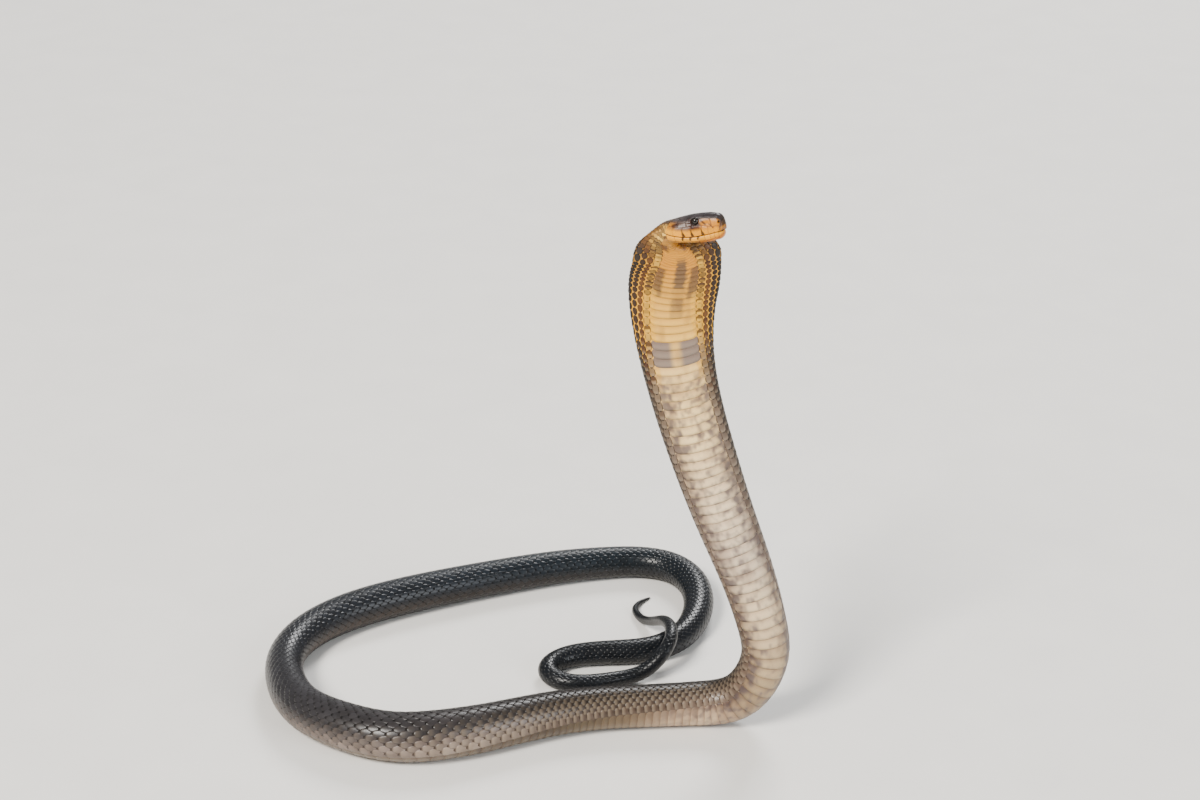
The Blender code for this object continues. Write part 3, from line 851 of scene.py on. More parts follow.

# %% [markdown]
# ## The finish of the side and back scales
# Each scale takes one colour from where it grows, made lighter or darker by its own tone. Its
# rim is dark. On the hood some scales of the lowest rows carry a brown blotch, and the sides of
# the nape are speckled. On the forebody the free tips of the lower scales carry a painted
# highlight, a pale crescent. The surface shines a little, more so on the black of the body.
# %% Material of the scales
scale_material, tree, output = new_material("glossy scales")
along, flank, tone, tip = reads("along"), reads("flank"), reads("tone"), reads("tip")
grain = placed(grain_group, Fineness=900.0)
on_hood = between(along, 0.044, 0.05, 0.17, 0.25)
colour = placed(body_colours)["Scales"]
front_part = fades(scaled(grain["Mottle"], 0.5, tip), 0.85, 0.6)
blotch = times(fades(tone, 0.45, 0.6), fades(flank, 0.24, 0.14), on_hood, front_part)
colour = stained(colour, blotch, 0.85, (84, 50, 20))
speckle = times(fades(tone, 0.4, 0.5), fades(along, 0.074, 0.06))
colour = stained(colour, speckle, 0.75, (104, 74, 40))
colour = lit(colour, scaled(tone, 0.34, 0.83))
colour = darker(fades(grain["Mottle"], 0.62, 0.35), colour, (0.8, 0.78, 0.76, 1))
throat_spot = times(between(along, 0.055, 0.058, 0.066, 0.069), fades(flank, 0.2, 0.12))
eye_spot = times(between(along, 0.078, 0.084, 0.104, 0.112), fades(flank, 0.16, 0.08))
colour = stained(colour, figure('MAXIMUM', throat_spot, eye_spot), 0.72, (78, 54, 42))
# Painted highlight: the free tips of the lower scales on the forebody are laid paler, as a pale
# crescent.
painted_tip_highlight = times(fades(tip, 0.5, 0.84), between(along, 0.125, 0.165, 0.7, 0.9),
                 fades(figure('ABSOLUTE', reads("side")), 0.9, 0.5), fades(flank, 0.7, 0.3))
colour = stained(colour, painted_tip_highlight, 0.18, (200, 182, 158))
rim_tint = blends(on_hood, (0.18, 0.15, 0.13, 1), (0.06, 0.04, 0.03, 1))
colour = darker(placed(rim_group, Width=0.36, Rear=0.15)["Rim"], colour, rim_tint)
rough = scaled(fades(along, 0.6, 0.15), 0.14, scaled(grain["Height"], 0.12, 0.27))
surface(output, {"Base Color": colour, "Roughness": rough, "Normal": bumps(grain["Height"], 0.12),
                 "Coat Weight": 0.1, "Coat Roughness": 0.2, "Specular IOR Level": 0.24})
print("material:", scale_material.name)

# %% [markdown]
# ## The finish of the belly plates
# Belly plates are paler and more even, with a darker line along the free rear edge. The throat
# carries dark patches, one band crosses the hood's front under them, broken by a pale line down
# the middle, and below it the cream is smudged with grey, more towards the plates' ends. The
# front of each plate, under the free edge of the one before, is darkened as painted shade, and
# below the throat the plates' ends are darker, partly grey and partly painted shade where the
# belly turns away from the light.
# %% Material of the belly plates
BAND = (0.1505, 0.1745)

belly_material, tree, output = new_material("belly plates")
along, tone, tip, signed = reads("along"), reads("tone"), reads("tip"), reads("side")
side = figure('ABSOLUTE', signed)
grain = placed(grain_group, Fineness=700.0)
on_plate = add("CombineXYZ", {0: signed, 1: times(tone, 37.0), 2: times(tip, 0.35)}).outputs[0]
smudge = noise(on_plate, 3.4, 1.5)
wide = add("Mapping", {"Vector": object_place(), "Scale": (70.0, 40.0, 45.0)}).outputs[0]
cloud = noise(wide, 1.0, 2.0)
ragged_side = scaled(smudge, 0.3, side)

colour = placed(body_colours)["Belly"]
outer = scaled(fades(side, 0.3, 0.9), 0.17, smudge)
smudged = times(fades(outer, 0.42, 0.78), between(along, 0.172, 0.19, 0.5, 0.6))
colour = stained(colour, smudged, 0.85, (116, 102, 102))
clouded = times(fades(cloud, 0.5, 0.68), fades(along, 0.085, 0.12))
colour = darker(clouded, colour, (0.74, 0.71, 0.72, 1))
off_centre = figure('ABSOLUTE', figure('SUBTRACT', signed, 0.16))
upper_patch = between(along, 0.068, 0.076, 0.096, 0.105)
lower_patch = between(along, 0.104, 0.111, 0.121, 0.13)
near_middle = fades(scaled(smudge, 0.4, off_centre), 0.56, 0.36)
patches = times(scaled(lower_patch, 0.7, upper_patch), near_middle)
colour = stained(colour, patches, 0.85, (98, 84, 72))
eye_spot = times(between(along, 0.078, 0.084, 0.104, 0.113), fades(ragged_side, 0.62, 0.82))
colour = stained(colour, eye_spot, 0.8, (92, 72, 60))
outer_throat = figure('MAXIMUM', fades(ragged_side, 0.62, 0.8),
                      fades(reads("flank"), -0.62, -0.42))
throat_end = times(between(along, 0.053, 0.056, 0.064, 0.068), outer_throat)
colour = stained(colour, throat_end, 0.8, (84, 50, 36))
yellow_end = times(between(along, 0.1, 0.112, 0.16, 0.2), fades(ragged_side, 0.86, 1.0))
colour = stained(colour, yellow_end, 0.8, (238, 186, 62))
in_band = times(figure('GREATER_THAN', along, BAND[0]), figure('LESS_THAN', along, BAND[1]))
beside_line = scaled(fades(side, 0.34, 0.04), -0.75, 1.0)
colour = stained(colour, times(in_band, beside_line), 0.93, (140, 126, 120))
colour = lit(colour, scaled(tone, 0.12, 0.94))
# Painted shade: the front of each plate, under the free edge of the plate before, is darkened.
colour = darker(fades(tip, 0.6, 0.2), colour, (0.8, 0.76, 0.75, 1))
colour = darker(fades(tip, 0.93, 0.99), colour, (0.55, 0.47, 0.42, 1))
# Darker towards the plates' ends below the throat: partly the plates' grey ends, partly painted
# shade where the belly turns away from the light.
grey_ends_and_shade = times(fades(side, 0.2, 0.95), fades(along, 0.16, 0.27))
colour = darker(grey_ends_and_shade, colour, (0.56, 0.53, 0.53, 1))
surface(output, {"Base Color": colour, "Roughness": scaled(grain["Height"], 0.15, 0.3),
                 "Normal": bumps(grain["Height"], 0.1), "Subsurface Weight": 0.04,
                 "Subsurface Scale": 0.004, "Specular IOR Level": 0.35})
print("material:", belly_material.name)

# %% [markdown]
# ## The colours of the head
# The crown is slate, the snout golden, the cheeks mauve, and the lips and chin are gold with
# short black bars on the joints between the lip shields. The front of the snout and the
# underside of the chin are darkened as painted shade, and the rear of the crown is paler,
# partly its colour and partly a painted highlight. Four numbers on each vertex drive it:
# `along` is the distance behind the snout, `down` runs from 0 on the crown over 1 at the lips
# to 2 under the chin, `bar` is 1 on the black bars and on the nostrils, which are painted dark
# as shade, and `mark` is 1 on the brown marks.
# %% Node group for the head
def turning(colour, value, steps):
    """A colour that turns into others, from steps of (start, end, shade)."""
    for start, end, shade in steps:
        colour = blends(fades(value, start, end), colour, seen(*shade))
    return colour


tree, _, ends = new_group("head colours", {"Color": "Color"})
head_colours = tree
back, down = reads("along"), reads("down")
# The crown turns paler from 26 to 36 mm behind the tip, partly its colour and partly a painted
# highlight.
crown = turning(seen(70, 64, 66), back, [(0.026, 0.036, (92, 84, 84)), (0.039, 0.047, (92, 74, 50)),
                                         (0.0035, 0.001, (86, 70, 58))])
# Painted shade: the side is darker in its first 1.5 to 4.5 mm, on the front face of the snout.
side = turning(seen(96, 70, 42), back, [(0.0015, 0.0045, (206, 142, 36)),
                                        (0.0155, 0.019, (104, 66, 42)),
                                        (0.0245, 0.0285, (120, 98, 86)),
                                        (0.034, 0.041, (182, 128, 48))])
# Painted shade: the lips are darker in their first 2 to 6 mm, at the front of the snout.
lips = turning(seen(184, 126, 30), back, [(0.002, 0.006, (236, 168, 20)),
                                          (0.032, 0.044, (232, 172, 36))])
# Painted shade: the chin turns darker orange towards the underside of the jaw.
chin = turning(seen(240, 176, 26), down, [(1.15, 1.5, (204, 130, 18))])
border = scaled(fades(back, 0.03, 0.024), 0.08, down)
upper = blends(fades(border, 0.43, 0.58), crown, side)
upper = blends(fades(down, 0.7, 0.86), upper, lips)
colour = blends(fades(down, 0.99, 1.01), upper, chin)
colour = stained(colour, reads("mark"), 0.85, (62, 30, 26))
colour = stained(colour, reads("bar"), 0.95, (44, 26, 14))
fed(ends, {"Color": colour})
print("nodes in the head's group:", len(tree.nodes))

# %% [markdown]
# ## The finish of the skin
# Bare skin shows in the joints of the head shields, between the scales of the hood, and as thin
# dark lines on the body. It is softer and duller than the scales, with a fine pebbled bump.
# %% Material of the skin
skin_material, tree, output = new_material("bare skin")
colours = placed(body_colours)
bare = blends(fades(reads("flank"), 0.02, -0.04), colours["Bare skin"], colours["Belly"])
bare = darker(1.0, bare, (0.78, 0.76, 0.74, 1))
joints = darker(1.0, placed(head_colours)["Color"], (0.3, 0.24, 0.2, 1))
colour = blends(fades(reads("along"), 0.0445, 0.048), joints, bare)
# Painted shade: the eye sockets, the nostrils and the groove of the mouth are laid near black.
colour = stained(colour, reads("hollow"), 1.0, (20, 12, 10))
pebbles = add("TexVoronoi", {"Vector": object_place(), "Scale": 1400.0}, feature='SMOOTH_F1')
surface(output, {"Base Color": colour, "Roughness": 0.55,
                 "Normal": bumps(pebbles.outputs["Distance"], 0.35, 0.0003)})
print("material:", skin_material.name)

# %% [markdown]
# ## From flat grids to pieces
# Every piece starts as a flat grid. Its vertices are moved to their places, numbers for the
# materials and a flat map for baking are stored on it, and it is put in the scene as a piece.
# %% Helpers for meshes
def grid_shape(columns, rows, size=1):
    """A flat square grid, as a bmesh that can be edited."""
    shape = bmesh.new()
    bmesh.ops.create_grid(shape, x_segments=columns, y_segments=rows, size=size)
    return shape


def as_mesh(shape, name):
    """The finished bmesh as a mesh."""
    mesh = bpy.data.meshes.new(name)
    shape.to_mesh(mesh)
    shape.free()
    return mesh


def places_of(mesh):
    """The places of a mesh's vertices."""
    places = np.empty(len(mesh.vertices) * 3, dtype=np.float32)
    mesh.vertices.foreach_get("co", places)
    return places.reshape(-1, 3)


def counted(items, name):
    """One whole number of each of a mesh's items."""
    numbers = np.empty(len(items), dtype=np.int32)
    items.foreach_get(name, numbers)
    return numbers


def write_places(mesh, places):
    """Moves a mesh's vertices to places given in millimetres."""
    mesh.vertices.foreach_set("co", np.ascontiguousarray(places * MM, dtype=np.float32).ravel())
    mesh.update()


def write_values(mesh, **values):
    """Stores numbers for each vertex, by name, for materials to read."""
    for name, numbers in values.items():
        layer = mesh.attributes.new(name, 'FLOAT', 'POINT')
        layer.data.foreach_set("value", np.asarray(numbers, dtype=np.float32).ravel())


def write_map(mesh, spots):
    """Writes the flat map for baking, with one spot for each corner of each face."""
    layer = mesh.uv_layers.new(name="OFBake")
    layer.data.foreach_set("uv", spots.astype(np.float32).ravel())


def in_scene(name, data):
    """An object for a mesh, light or camera, put in the scene."""
    made = bpy.data.objects.new(name, data)
    bpy.context.scene.collection.objects.link(made)
    return made


def add_piece(name, mesh, material):
    """Makes a mesh one smooth piece of the model, with its material."""
    mesh.shade_smooth()
    mesh.materials.clear()
    mesh.materials.append(material)
    piece = in_scene(name, mesh)
    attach(piece, "root")
    return piece


# %% [markdown]
# ## One skin
# The skin could be made with a Skin modifier, but that gives no say over where its faces lie.
# Here a flat grid is rolled up instead: its columns go round the animal and its rows along it,
# each vertex is moved to its place on the tables, and the open seam along the belly is merged.
# Rows are close on the face, the hood and the thin tail, and wide apart on the thick body.
# %% Roll a grid into the skin
NECK_STEP = 0.7
HOOD_STEP, BODY_STEP = 0.16, 0.5
HOOD_ENDS = 270.0


def stops_along():
    """Distances from the snout where the skin's rows lie."""
    stops = list(BACKS[1:])
    at = HEAD_LENGTH
    while at < LENGTH - 0.8:
        thick = np.interp(at - BODY_FROM, stations, THICKNESS)
        share = HOOD_STEP if at < HOOD_ENDS else BODY_STEP
        at += NECK_STEP if at < BODY_FROM else share * thick
        stops.append(min(at, LENGTH))
    return np.array(stops)


STOPS = stops_along()
COLUMNS = 2 * SIDE_COLUMNS
skin_mesh = as_mesh(grid_shape(len(STOPS) - 1, COLUMNS), "skin")
flat = places_of(skin_mesh)
row_of = np.rint((flat[:, 0] + 1) / 2 * (len(STOPS) - 1)).astype(int)
column_of = np.rint((flat[:, 1] + 1) / 2 * COLUMNS).astype(int)
along_skin = STOPS[row_of]
head_turn = HEAD_TURNS[column_of]
body_turn = COLUMN_TURNS[column_of]
none = np.zeros(len(flat))
write_places(skin_mesh, on_skin(along_skin, body_turn, none))
print("skin faces:", len(skin_mesh.polygons), "rows:", len(STOPS))

# %% [markdown]
# Both edges of the rolled grid lie on the same line under the belly, and one pass of
# remove_doubles welds them. The blunt snout and the tail's tip are closed with one face each.
# The map for baking is the grid itself, folded into eight strips.
# %% Weld the seam, close both ends and dress the skin
STRIPS = 8
LIP_SHARES = np.array([0, LOWER_COLUMNS, LOWER_COLUMNS + MOUTH_COLUMNS, SIDE_COLUMNS]) / SIDE_COLUMNS
LIP_DOWNS = np.array([2, 1.02, 1, 0])


def painted_shade_in_hollows(back, head_turn):
    """1 in the eye sockets, the nostrils and the mouth's groove, which are painted dark as shade."""
    up = folded(head_turn)
    level = (read_table(head_rows, BACKS, back, HEAD_TURNS, up) - SNOUT_TIP) @ UP
    at_eye = np.hypot(back - EYE_BACK, level - EYE_UP) < EYE_OPENING + 0.15
    at_nostril = np.hypot(back - NOSTRIL_BACK, level - NOSTRIL_UP) < 0.75
    in_mouth = (up > 0.3) & (up < 0.368) & (back > CHIN_SETBACK)
    return (back < HEAD_LENGTH - 1) & (at_eye | at_nostril | in_mouth)


# `hollow` marks the eye sockets, nostrils and mouth groove, which the skin's material paints near
# black as shade.
write_values(skin_mesh, along=along_skin * MM, flank=flank_of(along_skin, body_turn),
             down=np.interp(folded(head_turn), LIP_SHARES, LIP_DOWNS), bar=none, mark=none,
             hollow=painted_shade_in_hollows(along_skin, head_turn))
corners = counted(skin_mesh.loops, "vertex_index")
share = along_skin[corners] / LENGTH * STRIPS
lowest = np.minimum.reduceat(share, counted(skin_mesh.polygons, "loop_start"))
strip = np.repeat(np.floor(lowest), 4)
strip_turn = column_of[corners] / COLUMNS
write_map(skin_mesh, np.stack([(share - strip) * 0.96 + 0.01,
                               (strip + 0.04 + 0.92 * strip_turn) / STRIPS], axis=1))

weld = bmesh.new()
weld.from_mesh(skin_mesh)
bmesh.ops.remove_doubles(weld, verts=weld.verts, dist=0.00001)
rims = [edge for edge in weld.edges if edge.is_boundary]
bmesh.ops.holes_fill(weld, edges=rims, sides=0)
bmesh.ops.recalc_face_normals(weld, faces=weld.faces)
weld.to_mesh(skin_mesh)
print("open edges left:", sum(edge.is_boundary for edge in weld.edges))
weld.free()
skin = add_piece("skin", skin_mesh, skin_material)
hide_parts(*[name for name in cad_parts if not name.startswith("eye")])

# %% [markdown]
# ## One scale, then thousands
# A cobra's scale is smooth: a long oval with a rounded tip, slightly domed, rooted in front and
# free behind. It is modelled once, from a grid whose sides are drawn in towards the tip, and its
# rim is extruded down so that the edge shows a thickness. The operator lists the rim's faces in
# an order that changes from run to run, so they are sorted by place, and the model comes out the
# same each time. An Array modifier repeats the scale, and every copy is then laid on the body.
# %% Model one scale
SORT_WEIGHTS = Vector((1.0, 7.3, 51.0))


def with_rim(shape, depth, name):
    """Extrudes the border of an open plate down into the skin, and makes it a mesh."""
    edges = [edge for edge in shape.edges if edge.is_boundary]
    made = bmesh.ops.extrude_edge_only(shape, edges=edges)
    for vertex in [item for item in made["geom"] if isinstance(item, bmesh.types.BMVert)]:
        vertex.co.z -= depth
    shape.faces.sort(key=lambda face: face.calc_center_median() @ SORT_WEIGHTS)
    bmesh.ops.recalc_face_normals(shape, faces=shape.faces)
    middle = max(shape.faces, key=lambda face: face.calc_center_median().z)
    if middle.normal.z < 0:
        bmesh.ops.reverse_faces(shape, faces=shape.faces)
    return as_mesh(shape, name)


def scale_template(name, across, along, outline_power, tip_width, dome):
    """A scale in its own measures: x from -1 to 1 across, y from 0 to 1 towards the tip."""
    shape = grid_shape(across, along)
    for vertex in shape.verts:
        side, tip = vertex.co.x, (vertex.co.y + 1) / 2
        half = max(1 - abs(2 * tip - 0.9) ** outline_power, 0) ** 0.5
        half = max(half, tip_width)
        rise = 0.15 + 0.85 * min(tip / 0.8, 1) - 0.3 * max(tip - 0.85, 0) / 0.15
        vertex.co = (side * half, tip + 0.03 * (1 - side * side) * tip, rise - dome * side ** 2)
    return with_rim(shape, 0.9, name)


back_scale = scale_template("back_scale", 5, 6, 2.6, 0.22, 0.28)
print("faces of one scale:", len(back_scale.polygons))

# %% [markdown]
# Six numbers lay a scale: where its root and its end lie along the animal, its turn, its half
# width, its height, and a tone drawn at random. `lay_scales` multiplies the template by these
# and reads the surface under it. On the map for baking each scale gets a small patch of its
# own, at its root's place on the unrolled skin.
# %% Repeat a template and lay the copies on the animal
def copies_of(template, count):
    """The template's mesh repeated, as an Array modifier makes it."""
    holder = in_scene("template", template)
    array = holder.modifiers.new("copies", 'ARRAY')
    array.count = count
    array.use_relative_offset = False
    shown = holder.evaluated_get(bpy.context.evaluated_depsgraph_get())
    mesh = bpy.data.meshes.new_from_object(shown)
    bpy.data.objects.remove(holder)
    return mesh


def lay_scales(name, template, laid, material, bow=0.0):
    """Lays copies of a template on the skin. bow draws their sides towards the head, in mm."""
    root, end, turn, half_wide, height, tone = laid
    mesh = copies_of(template, len(root))
    each = len(mesh.vertices) // len(root)
    side, tip, rise = places_of(mesh).reshape(len(root), each, 3).transpose(2, 0, 1)
    behind_root = tip * (end - root)[:, None]
    at = root[:, None] + behind_root - np.reshape(bow, (-1, 1)) * side ** 2
    across = side * half_wide[:, None]
    places = on_skin(at, turn[:, None] + across, rise * height[:, None])
    write_places(mesh, places.reshape(-1, 3))
    middle = 0.4 * root + 0.6 * end
    write_values(mesh, along=np.repeat(middle, each) * MM,
                 flank=np.repeat(flank_of(middle, turn), each), tip=tip, side=side,
                 tone=np.repeat(tone, each))
    patch_u = (root[:, None] + behind_root * 0.55 - root.min()) / (end.max() - root.min())
    patch_v = (np.mod(turn, 2)[:, None] + across * 0.8) / 2
    spots = np.clip(0.02 + 0.96 * np.stack([patch_u.ravel(), patch_v.ravel()], 1), 0.001, 0.999)
    write_map(mesh, spots[counted(mesh.loops, "vertex_index")])
    add_piece(name, mesh, material)
    print(name, "laid:", len(root), "faces:", len(mesh.polygons))


# %% [markdown]
# ## The coat of scales
# The scales are gathered row by row, with odd rows shifted by half a scale. On the hood the skin
# is stretched sideways, so there the scales stand apart as narrow ovals and the skin shows
# between them. Elsewhere each one covers the root of the next. The coat is in four pieces along
# the body, to keep each mesh light, and its rows start where the head's large shields end.
# %% Gather the scales of the back and sides
rng = np.random.default_rng(7)
SCALE_LENGTH, SCALE_WIDTH = 1.6, 0.93
HOOD_SHORTER, HOOD_NARROWER = 0.66, 0.47
SIZE_SPREAD = 0.03
GROWS_FROM = 0.45
ROW_STARTS = [(0.2, 46.5), (0.42, 47.2), (0.5, 46.9), (0.6, 43.6), (0.74, 42.6), (0.82, 37.3),
              (1.0, 36.5)]


def gather_scales(first, last):
    """Roots, ends, turns, half widths, heights and tones of the scales between two counts."""
    found = []
    for row in range(ROWS_A_SIDE + 1):
        counts = np.arange(first, last) + (0.5 if row % 2 else 0.0)
        at = along_of(counts)
        middle, wide = row_turns(row, at)
        started = at > read_line(ROW_STARTS, middle)
        kept = (row_widths(at)[row] > GROWS_FROM) & started
        for mirrored in ((False, True) if row else (False,)):
            turn = np.where(mirrored, 2 - middle, middle)
            found.append(np.stack([counts, turn, at, wide], axis=1)[kept])
    counts, turn, at, wide = np.concatenate(found).T
    loose = np.interp(at, body_along, spread)
    size = rng.normal(1, SIZE_SPREAD, len(counts))
    length = (SCALE_LENGTH - HOOD_SHORTER * loose) * size
    half_wide = wide * (SCALE_WIDTH - HOOD_NARROWER * loose) * size
    height = 0.018 * np.interp(at, body_along, thick_along) + 0.1
    tone = rng.random(len(counts))
    return (along_of(counts - length / 2), along_of(counts + length / 2), turn, half_wide, height,
            tone)


COAT = [("scales_hood", 1, 75, "hood_skin"), ("scales_front", 75, 136, "body_skin"),
        ("scales_back", 136, 198, "body_skin"),
        ("scales_tail", 198, int(LAST_COUNT) - 1, "body_skin")]
for name, first, last, slot in COAT:
    lay_scales(name, back_scale, gather_scales(first, last), scale_material)

# %% [markdown]
# ## Belly plates
# A belly plate is a band across the underside, with its rear edge lying free over the next one.
# The same kind of template serves, with more columns so that it can bend round the belly. On
# the throat the bands are short folds that bow towards the chin, and under the tail the plates
# are in pairs.
# %% Lay the belly plates
FIRST_BELLY_PLATE = int(np.interp(77.0, fine_along, count_along))
PLATE_HALF, TAIL_HALF = 0.64, 0.72
PLATE_WIDER = 1.02
PLATE_HEIGHTS = [(55, 0.14), (110, 0.2), (250, 0.32), (600, 0.4)]
FOLD_STEP, FOLD_HALF = 1.7, 1.15


def band_template(name, across, along):
    """A belly plate in its own measures, with rounded ends and a free rear edge."""
    shape = grid_shape(across, along)
    for vertex in shape.verts:
        side, tip = vertex.co.x, (vertex.co.y + 1) / 2
        end = max(abs(side) - 0.8, 0) / 0.2
        narrowed = 0.5 + (tip - 0.5) * (1 - 0.45 * end ** 2)
        rise = 0.1 + 0.9 * min(tip / 0.9, 1) - 0.2 * max(tip - 0.9, 0) / 0.1
        vertex.co = (side, narrowed - 0.1 * side ** 2, rise - 0.25 * end ** 2)
    return with_rim(shape, 1.0, name)


belly_band = band_template("belly_band", 22, 4)
counts = np.arange(FIRST_BELLY_PLATE, int(VENT_COUNT)) + 0.5
at = along_of(counts)
laid = (along_of(counts - PLATE_HALF), along_of(counts + PLATE_HALF), np.zeros(len(counts)),
        PLATE_WIDER * belly_edge(at), read_line(PLATE_HEIGHTS, at), rng.random(len(counts)))
bow = read_line([(75, 3.2), (120, 0.6)], at)
lay_scales("belly_plates", belly_band, laid, belly_material, bow)

at = np.arange(56.0, along_of(FIRST_BELLY_PLATE) + 1.0, FOLD_STEP)
laid = (at - FOLD_HALF, at + FOLD_HALF, np.zeros(len(at)), PLATE_WIDER * belly_edge(at),
        np.full(len(at), 0.15), rng.random(len(at)))
bow = read_line([(56, 5.0), (77, 3.2)], at)
lay_scales("throat_folds", belly_band, laid, belly_material, bow)

counts = np.arange(int(VENT_COUNT) + 1, int(LAST_COUNT) - 1)
counts = np.concatenate([counts, counts + 0.5])
at = along_of(counts)
half = belly_edge(at)
turn = np.where(np.arange(len(counts)) < len(counts) // 2, 0.5 * half, 2 - 0.5 * half)
tail_scale = scale_template("tail_scale", 6, 6, 3.4, 0.3, 0.2)
laid = (along_of(counts - TAIL_HALF), along_of(counts + TAIL_HALF), turn, 0.56 * half,
        0.022 * np.interp(at, body_along, thick_along) + 0.03, rng.random(len(counts)))
lay_scales("tail_plates", tail_scale, laid, belly_material)

# %% [markdown]
# ## The head shields
# A cobra's head is covered by large flat shields that meet edge to edge, in nearly the same
# pattern on every animal. Each is drawn as a convex outline on a flat chart of the head, in
# millimetres behind the snout and from 0 on the crown over 1 at the lip to 2 under the chin. A
# grid is cut to the outline with bisect_plane, one cut an edge, and laid on the head. The
# outlines could be drawn on the mesh by hand, but cut grids stay even and follow every hollow.
# %% Outlines of the shields of the crown and sides
CROWN = {
    "internasal": [(1.7, 0.012), (6.8, 0.012), (6.8, 0.30), (4.0, 0.34), (1.9, 0.30)],
    "prefrontal": [(6.8, 0.012), (13.2, 0.012), (14.6, 0.17), (14.6, 0.34), (10.2, 0.39),
                   (6.8, 0.30)],
    "supraocular": [(14.6, 0.17), (22.2, 0.13), (27.0, 0.335), (21.6, 0.385), (15.0, 0.36)],
    "parietal": [(25.4, 0.012), (35.8, 0.012), (36.8, 0.22), (33.6, 0.38), (27.0, 0.335),
                 (22.2, 0.13)],
    "nasal": [(2.1, 0.345), (4.2, 0.35), (6.9, 0.315), (10.0, 0.40), (8.5, 0.722), (2.9, 0.72)],
    "preocular": [(10.3, 0.40), (14.8, 0.365), (18.9, 0.40), (18.6, 0.60), (14.2, 0.67),
                  (8.8, 0.724)],
    "upper_postocular": [(24.4, 0.385), (27.5, 0.36), (28.3, 0.455), (24.7, 0.455)],
    "middle_postocular": [(24.7, 0.458), (28.3, 0.458), (28.5, 0.55), (24.6, 0.545)],
    "lower_postocular": [(24.6, 0.548), (28.5, 0.553), (27.8, 0.665), (23.4, 0.635)],
    "upper_temporal": [(27.9, 0.36), (34.4, 0.39), (35.2, 0.525), (28.6, 0.52)],
    "lower_temporal": [(28.7, 0.525), (35.2, 0.53), (34.8, 0.695), (28.1, 0.68)],
    "rear_temporal": [(34.7, 0.385), (37.3, 0.24), (41.8, 0.30), (42.2, 0.44), (35.5, 0.525)],
    "low_rear_temporal": [(35.4, 0.53), (42.2, 0.445), (43.2, 0.64), (35.2, 0.695)],
}
CHIN = {
    "front_chin_shield": [(6.8, 1.975), (15.0, 1.965), (14.6, 1.43), (6.0, 1.44), (5.0, 1.60)],
    "rear_chin_shield": [(15.4, 1.96), (22.6, 1.91), (24.0, 1.64), (20.0, 1.41), (15.0, 1.42)],
}
FRONTAL = [(13.2, 0), (14.6, 0.17), (22.2, 0.13), (25.4, 0), (22.2, -0.13), (14.6, -0.17)]
LIP_TOPS = [(2.9, 0.725), (8.6, 0.73), (14.2, 0.675), (18.6, 0.605), (24.4, 0.64), (28, 0.68),
            (34.8, 0.70), (41, 0.66), (46, 0.64)]
UPPER_LIPS = [3.2, 7.4, 11.8, 16.4, 24.4, 31.2, 39.4, 46.2]
LOWER_LIPS = [4.6, 7.8, 11.2, 15.4, 20.4, 26.3, 32.2, 38.8, 45.4]
LOWER_LIP_ENDS = [(5, 1.42), (15, 1.40), (26, 1.34), (45, 1.30)]
UPPER_LIP_LINE, LOWER_LIP_LINE = 0.985, 1.03
BOTH_SIDES = (1, -1)
shields = [(outline, BOTH_SIDES) for outline in (*CROWN.values(), *CHIN.values())]
shields.append((FRONTAL, (1,)))
for start, end in zip(UPPER_LIPS, UPPER_LIPS[1:]):
    top = [(x, float(read_line(LIP_TOPS, x))) for x in (start, end)]
    shields.append(([*top, (end, UPPER_LIP_LINE), (start, UPPER_LIP_LINE)], BOTH_SIDES))
for start, end in zip(LOWER_LIPS, LOWER_LIPS[1:]):
    low = [(x, float(read_line(LOWER_LIP_ENDS, x))) for x in (end, start)]
    shields.append(([(start, LOWER_LIP_LINE), (end, LOWER_LIP_LINE), *low], BOTH_SIDES))
print("shield outlines:", len(shields))

# %% [markdown]
# Each cut grid keeps how far its vertices lie inside the outline, because the middle of a
# shield stands a little proud, its rim dips under the skin, and the joint must show dark.
# %% Cut a grid to an outline
CELL = 0.27
CHART_WIDTH = 23.0


def cut_grid(outline):
    """A flat grid cut to a convex outline on the chart, and each vertex's distance inside."""
    corners = np.array(outline) * (1, CHART_WIDTH)
    low, high = corners.min(axis=0), corners.max(axis=0)
    columns, rows = np.maximum(np.ceil((high - low) / CELL), 2).astype(int)
    shape = grid_shape(int(columns), int(rows), 0.5)
    for vertex in shape.verts:
        vertex.co.x = low[0] + (vertex.co.x + 0.5) * (high[0] - low[0])
        vertex.co.y = low[1] + (vertex.co.y + 0.5) * (high[1] - low[1])
    cuts = []
    for start, end in zip(corners, np.roll(corners, -1, axis=0)):
        out = unit([end[1] - start[1], start[0] - end[0]])
        if out @ (start - corners.mean(axis=0)) < 0:
            out = -out
        cuts.append((start, out))
        parts = [*shape.verts, *shape.edges, *shape.faces]
        bmesh.ops.bisect_plane(shape, geom=parts, plane_co=(*start, 0), plane_no=(*out, 0),
                               clear_outer=True)
    mesh = as_mesh(shape, "cut")
    flat = places_of(mesh)[:, :2]
    inside = np.min([(start - flat) @ out for start, out in cuts], axis=0)
    return mesh, flat[:, 0], flat[:, 1] / CHART_WIDTH, inside


print("the chart is", CHART_WIDTH, "mm from crown to lip, and a cell is", CELL, "mm")

